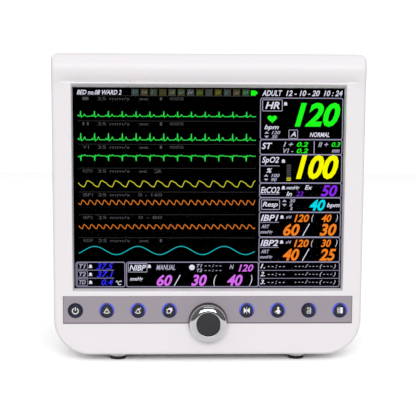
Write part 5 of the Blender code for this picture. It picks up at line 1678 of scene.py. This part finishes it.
    def grip(self) -> None:
        """The grip: a rounded section carried up one leg, across, and down the other leg."""
        low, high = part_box("carry_handle")
        thick = 12 * MM
        out, top, foot = high.x - thick / 2, high.z - thick / 2, low.z + 0.2 * MM
        bend = 9 * MM
        right = np.concatenate([[(out, foot)], [(out, top - bend - 6 * MM)],
                                arc((out - bend, top - bend), bend, 0, 90, 10)])
        across = np.linspace(out - bend, bend - out, 12)[1:-1]
        path = np.concatenate([right, np.stack([across, np.full(10, top)], -1), right[::-1] * (-1, 1)])
        step = np.gradient(path, axis=0)
        step /= np.linalg.norm(step, axis=1, keepdims=True)
        normal = np.stack([step[:, 1], -step[:, 0]], -1)
        section = rounded((high.y - low.y) / 2, thick / 2, 5.4 * MM, ((high.y + low.y) / 2, 0), 8)
        x = path[:, None, 0] + normal[:, None, 0] * section[None, :, 1]
        z = path[:, None, 1] + normal[:, None, 1] * section[None, :, 1]
        y = np.broadcast_to(section[None, :, 0], x.shape)
        points, faces = np.stack([x, y, z], -1).reshape(-1, 3), tube_faces(len(path), len(section))
        seat(heal(put_mesh("grip", points, faces, CASING)), "case", "casing", "carry_handle")

    def battery_cover(self) -> None:
        """The door under the case: a thin plate with rounded corners and a ribbed thumb rest."""
        low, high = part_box("battery_door")
        edge = rounded((high.x - low.x) / 2, (high.y - low.y) / 2, 2 * MM,
                       ((low.x + high.x) / 2, (low.y + high.y) / 2))
        plate = prism(edge, "Z", [(low.z, 0.3 * MM), (low.z + 0.3 * MM, 0), (high.z, 0)])
        ribs = []
        for i in range(5):
            rib = rounded(14 * MM, 0.6 * MM, 0.6 * MM, ((low.x + high.x) / 2, high.y - (8 + 2.4 * i) * MM), 4)
            ribs.append(prism(rib, "Z",
                              [(low.z - 0.5 * MM, 0.3 * MM), (low.z - 0.2 * MM, 0), (low.z + 0.2 * MM, 0)]))
        piece = heal(put_mesh("battery_cover", *plate, CASING))
        seat(piece, "case", "casing", "battery_door")
        fit("battery_cover_ribs", together(ribs), CASING, "casing")


# ------------------------------------------------------------------ sockets, fittings and feet
@dataclass(frozen=True)
class Socket:
    """Sizes of one round socket on the side."""

    bore: float
    pins: int
    pin_ring: float
    pin: float = 0.45 * MM
    barb: bool = False


@dataclass
class Sockets:
    """The eight sockets on the left side, and the panel that carries them."""

    depth: float = 9.0 * MM
    kinds: dict[str, Socket] = field(default_factory=lambda: {
        "ecg_socket": Socket(7.5 * MM, 12, 4.9 * MM), "spo2_socket": Socket(6 * MM, 9, 3.7 * MM),
        "nibp_fitting": Socket(2 * MM, 0, 0, barb=True), "co2_socket": Socket(6 * MM, 8, 3.7 * MM),
        "temp1_socket": Socket(3.4 * MM, 2, 1.3 * MM, 0.5 * MM), "temp2_socket": Socket(3.4 * MM, 2, 1.3 * MM,
                                                                                        0.5 * MM),
        "ibp1_socket": Socket(5.5 * MM, 6, 3.2 * MM), "ibp2_socket": Socket(5.5 * MM, 6, 3.2 * MM),
    })

    def build(self) -> None:
        """Make each socket with its pins and collar, and dress the panel."""
        dress(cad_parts["connector_panel"], GREY)
        for name, kind in self.kinds.items():
            low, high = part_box(name)
            centre = ((low.y + high.y) / 2, (low.z + high.z) / 2)
            radius = (high.y - low.y) / 2
            self.shell(name, kind, centre, low.x, high.x, radius)
            if kind.pins:
                self.pins(name, kind, centre, low.x)
            self.collar(name, centre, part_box("connector_panel")[0].x, radius)

    def shell(self, name: str, kind: Socket, centre: tuple[float, float], front: float, back: float,
              radius: float) -> None:
        """A turned socket: rounded flange, rolled mouth, straight bore and a body behind the panel.

        Args:
            name: the CAD node.
            kind: its sizes.
            centre: its middle, in depth and up.
            front: where its face lies across.
            back: where its rear end lies across.
            radius: the flange's radius.
        """
        floor = front + self.depth
        mouth = arc((kind.bore + 0.55 * MM, front + 0.5 * MM), 0.5 * MM, 180, 270, 5).tolist()
        outer = arc((radius - 0.6 * MM, front + 0.6 * MM), 0.6 * MM, 270, 360, 6).tolist()
        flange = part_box("connector_panel")[0].x
        inside = [(0.2 * MM, floor), (kind.bore, floor)]
        tail = [(radius, flange), (radius - 1.2 * MM, flange), (radius - 1.2 * MM, back - 0.5 * MM),
                (0.2 * MM, back)]
        if kind.barb:
            mouth = [(kind.bore, front + 0.2 * MM), (kind.bore + 0.3 * MM, front),
                     (kind.bore + 1.3 * MM, front),
                     (kind.bore + 2.3 * MM, front + 1.0 * MM), (kind.bore + 1.8 * MM, front + 1.2 * MM)]
            outer = [(kind.bore + 1.8 * MM, front + 1.5 * MM)] + (np.array(outer) + (0, 1.2 * MM)).tolist()
        profile = inside + mouth + outer + tail
        piece = turned_piece(f"{name}_body", profile, centre, "X", SOCKET_COLORS[name], 72)
        seat(piece, "case", SOCKET_COLORS[name].name, name)

    def pins(self, name: str, kind: Socket, centre: tuple[float, float], front: float) -> None:
        """A dark insert at the bottom of the bore, with a ring of domed pins.

        Args:
            name: the CAD node.
            kind: its sizes.
            centre: its middle, in depth and up.
            front: where its face lies across.
        """
        floor = front + self.depth
        insert = [(0.1 * MM, floor - 2.6 * MM), (kind.bore - 1.0 * MM, floor - 2.6 * MM),
                  (kind.bore - 0.6 * MM, floor - 2.2 * MM), (kind.bore - 0.6 * MM, floor + 0.2 * MM)]
        seat(turned_piece(f"{name}_insert", insert, centre, "X", BLACK, 40), "case", "black_plastic")
        angles = np.arange(kind.pins) * 2 * math.pi / kind.pins + 0.26
        bodies = []
        for angle in angles:
            place = (centre[0] + kind.pin_ring * math.cos(angle), centre[1] + kind.pin_ring * math.sin(angle))
            bodies.append(turned([(0.12 * MM, floor - 6.0 * MM), (kind.pin * 0.8, floor - 5.8 * MM),
                                  (kind.pin, floor - 5.4 * MM), (kind.pin, floor - 2.0 * MM)],
                                  place, "X", 14))
        fit(f"{name}_pins", together(bodies), BRASS, "brass")

    def collar(self, name: str, centre: tuple[float, float], face: float, radius: float) -> None:
        """A thin printed ring on the panel round the socket.

        Args:
            name: the CAD node.
            centre: its middle, in depth and up.
            face: where the panel's face lies across.
            radius: the flange's radius.
        """
        ring = [(radius + 0.5 * MM, face + 0.1 * MM), (radius + 0.5 * MM, face - 0.05 * MM),
                (radius + 1.5 * MM, face - 0.05 * MM), (radius + 1.5 * MM, face + 0.1 * MM)]
        fit(f"{name}_collar", turned_ring(ring, centre, "X"), SYMBOL, "grey_plastic", FINE_MERGE)


@dataclass
class RearFittings:
    """Mains inlet, network socket, earth stud and the screws."""

    case: Case

    def build(self) -> None:
        """Dress the fittings and add their contacts, their nut, and dark crosses of painted shade for the
        screw recesses.
        """
        for node, finish in (("mains_inlet", BLACK), ("network_socket", GREY), ("equipotential_stud", BRASS)):
            dress(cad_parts[node], finish)
        low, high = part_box("mains_inlet")
        x, z = (low.x + high.x) / 2, (low.z + high.z) / 2
        back = high.y
        blades = [prism(rounded(1.2 * MM, 2.3 * MM, 0.5 * MM, place, 3), "Y",
                        [(back - 12 * MM, 0), (back - 2.6 * MM, 0), (back - 2.0 * MM, 0.5 * MM)])
                  for place in ((x - 5.2 * MM, z - 1.5 * MM), (x, z + 2.2 * MM),
                                (x + 5.2 * MM, z - 1.5 * MM))]
        fit("mains_blades", together(blades), STEEL, "steel")
        low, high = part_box("network_socket")
        x, z = (low.x + high.x) / 2, (low.z + high.z) / 2
        wires = [prism(rounded(0.25 * MM, 3.4 * MM, 0.2 * MM, (x + (i - 3.5) * 1.02 * MM, z + 1.2 * MM), 2),
                       "Y",
                       [(high.y - 11.5 * MM, 0), (high.y - 3.0 * MM, 0)]) for i in range(8)]
        fit("network_contacts", together(wires), BRASS, "brass")
        low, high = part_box("equipotential_stud")
        hexagon = arc(((low.x + high.x) / 2, (low.z + high.z) / 2), 4.6 * MM, 0, 300, 5)
        wall = self.case.rear
        nut = prism(hexagon, "Y", [(wall - 0.2 * MM, 0), (wall + 1.6 * MM, 0), (wall + 2.0 * MM, 0.35 * MM)])
        fit("stud_nut", nut, STEEL, "steel")
        for i in range(1, 5):
            self.screw(f"case_screw_{i}", "Y", 1)
        for i in range(1, 3):
            self.screw(f"door_screw_{i}", "Z", -1)

    def screw(self, name: str, axis: str, way: int) -> None:
        """Dress a screw and sink a dark cross in its head, painted shade in place of the shade inside its
        cross recess.

        Args:
            name: the CAD node.
            axis: the screw's axis.
            way: 1 where the head points along the axis, -1 where it points against it.
        """
        dress(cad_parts[name], STEEL)
        low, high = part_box(name)
        index = "XYZ".index(axis)
        face = high[index] if way > 0 else low[index]
        across = [i for i in range(3) if i != index]
        middle = [(low[i] + high[i]) / 2 for i in across]
        cross = []
        # Painted shade: a dark cross body stands in for the shade inside the head's recess.
        for half_a, half_b in ((1.9 * MM, 0.42 * MM), (0.42 * MM, 1.9 * MM)):
            cross.append(prism(rounded(half_a, half_b, 0.3 * MM, middle, 3), axis,
                               [(face - way * 0.6 * MM, 0), (face + way * 0.04 * MM, 0)]))
        fit(f"{name}_drive", together(cross), RECESS_SHADE, "steel", FINE_MERGE)


@dataclass
class Feet:
    """Four moulded bosses with rubber pads."""

    case: Case
    boss: float = 8.75 * MM
    boss_drop: float = 4.3 * MM

    def build(self) -> None:
        """Turn a boss and a pad at each foot."""
        for side in ("left", "right"):
            for end, floor in (("front", self.case.bottom), ("rear", self.case.bottom + 2 * MM)):
                name = f"{end}_{side}_foot"
                low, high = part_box(name)
                centre = ((low.x + high.x) / 2, (low.y + high.y) / 2)
                foot = self.case.bottom - self.boss_drop
                boss = [(0.2 * MM, foot)] + arc((self.boss - 1.0 * MM, foot + 1.0 * MM), 1.0 * MM, -90, 0,
                                                7).tolist()
                boss += [(self.boss, floor - 0.6 * MM), (self.boss + 0.6 * MM, floor + 0.25 * MM),
                         (0.2 * MM, floor + 0.3 * MM)]
                seat(turned_piece(f"{name}_boss", boss, centre, "Z", CASING, 64), "case", "casing")
                radius = (high.x - low.x) / 2
                groove = [(radius - 1.6 * MM, 0.0), (radius - 1.9 * MM, 0.35 * MM),
                          (radius - 2.6 * MM, 0.35 * MM),
                          (radius - 2.9 * MM, 0.0)]
                pad = [(0.2 * MM, low.z)] + [(r, low.z + z) for r, z in reversed(groove)]
                pad += arc((radius - 0.8 * MM, low.z + 0.8 * MM), 0.8 * MM, -90, 0,
                           6).tolist() + [(radius, high.z - 0.1 * MM)]
                seat(turned_piece(f"{name}_pad", pad, centre, "Z", RUBBER, 56), "case", "rubber", name)


@dataclass
class InnerParts:
    """Finishes of the parts inside, which keep their CAD shapes."""

    finishes: dict[str, Finish] = field(default_factory=lambda: {
        "battery_pack": BLACK, "nibp_pump": BLACK, "loudspeaker": BLACK, "encoder_body": GREY,
        "encoder_plunger": GREY, "nibp_valve": GREY, "key_board": BOARD, "backlight_board": BOARD,
        "main_board": BOARD, "measuring_board": BOARD, "display_bracket": SHEET_METAL,
        "chassis_plate": SHEET_METAL, "power_supply": SHEET_METAL,
    })

    def build(self) -> None:
        """Dress each part."""
        for name, finish in self.finishes.items():
            dress(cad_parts[name], finish)
        LOG.info("inner parts: %d dressed", len(self.finishes))


def main() -> None:
    """Build the studio and each part of the monitor in turn."""
    logging.basicConfig(level=logging.INFO, format="%(name)s: %(message)s")
    Studio().build()
    case = Case()
    for part in (Bezel(case), Display(case), ControlStrip(), Keys(), Knob(), RearHousing(case), Sockets(),
                 RearFittings(case), Feet(case), InnerParts()):
        part.build()


if __name__ == "__main__":
    main()
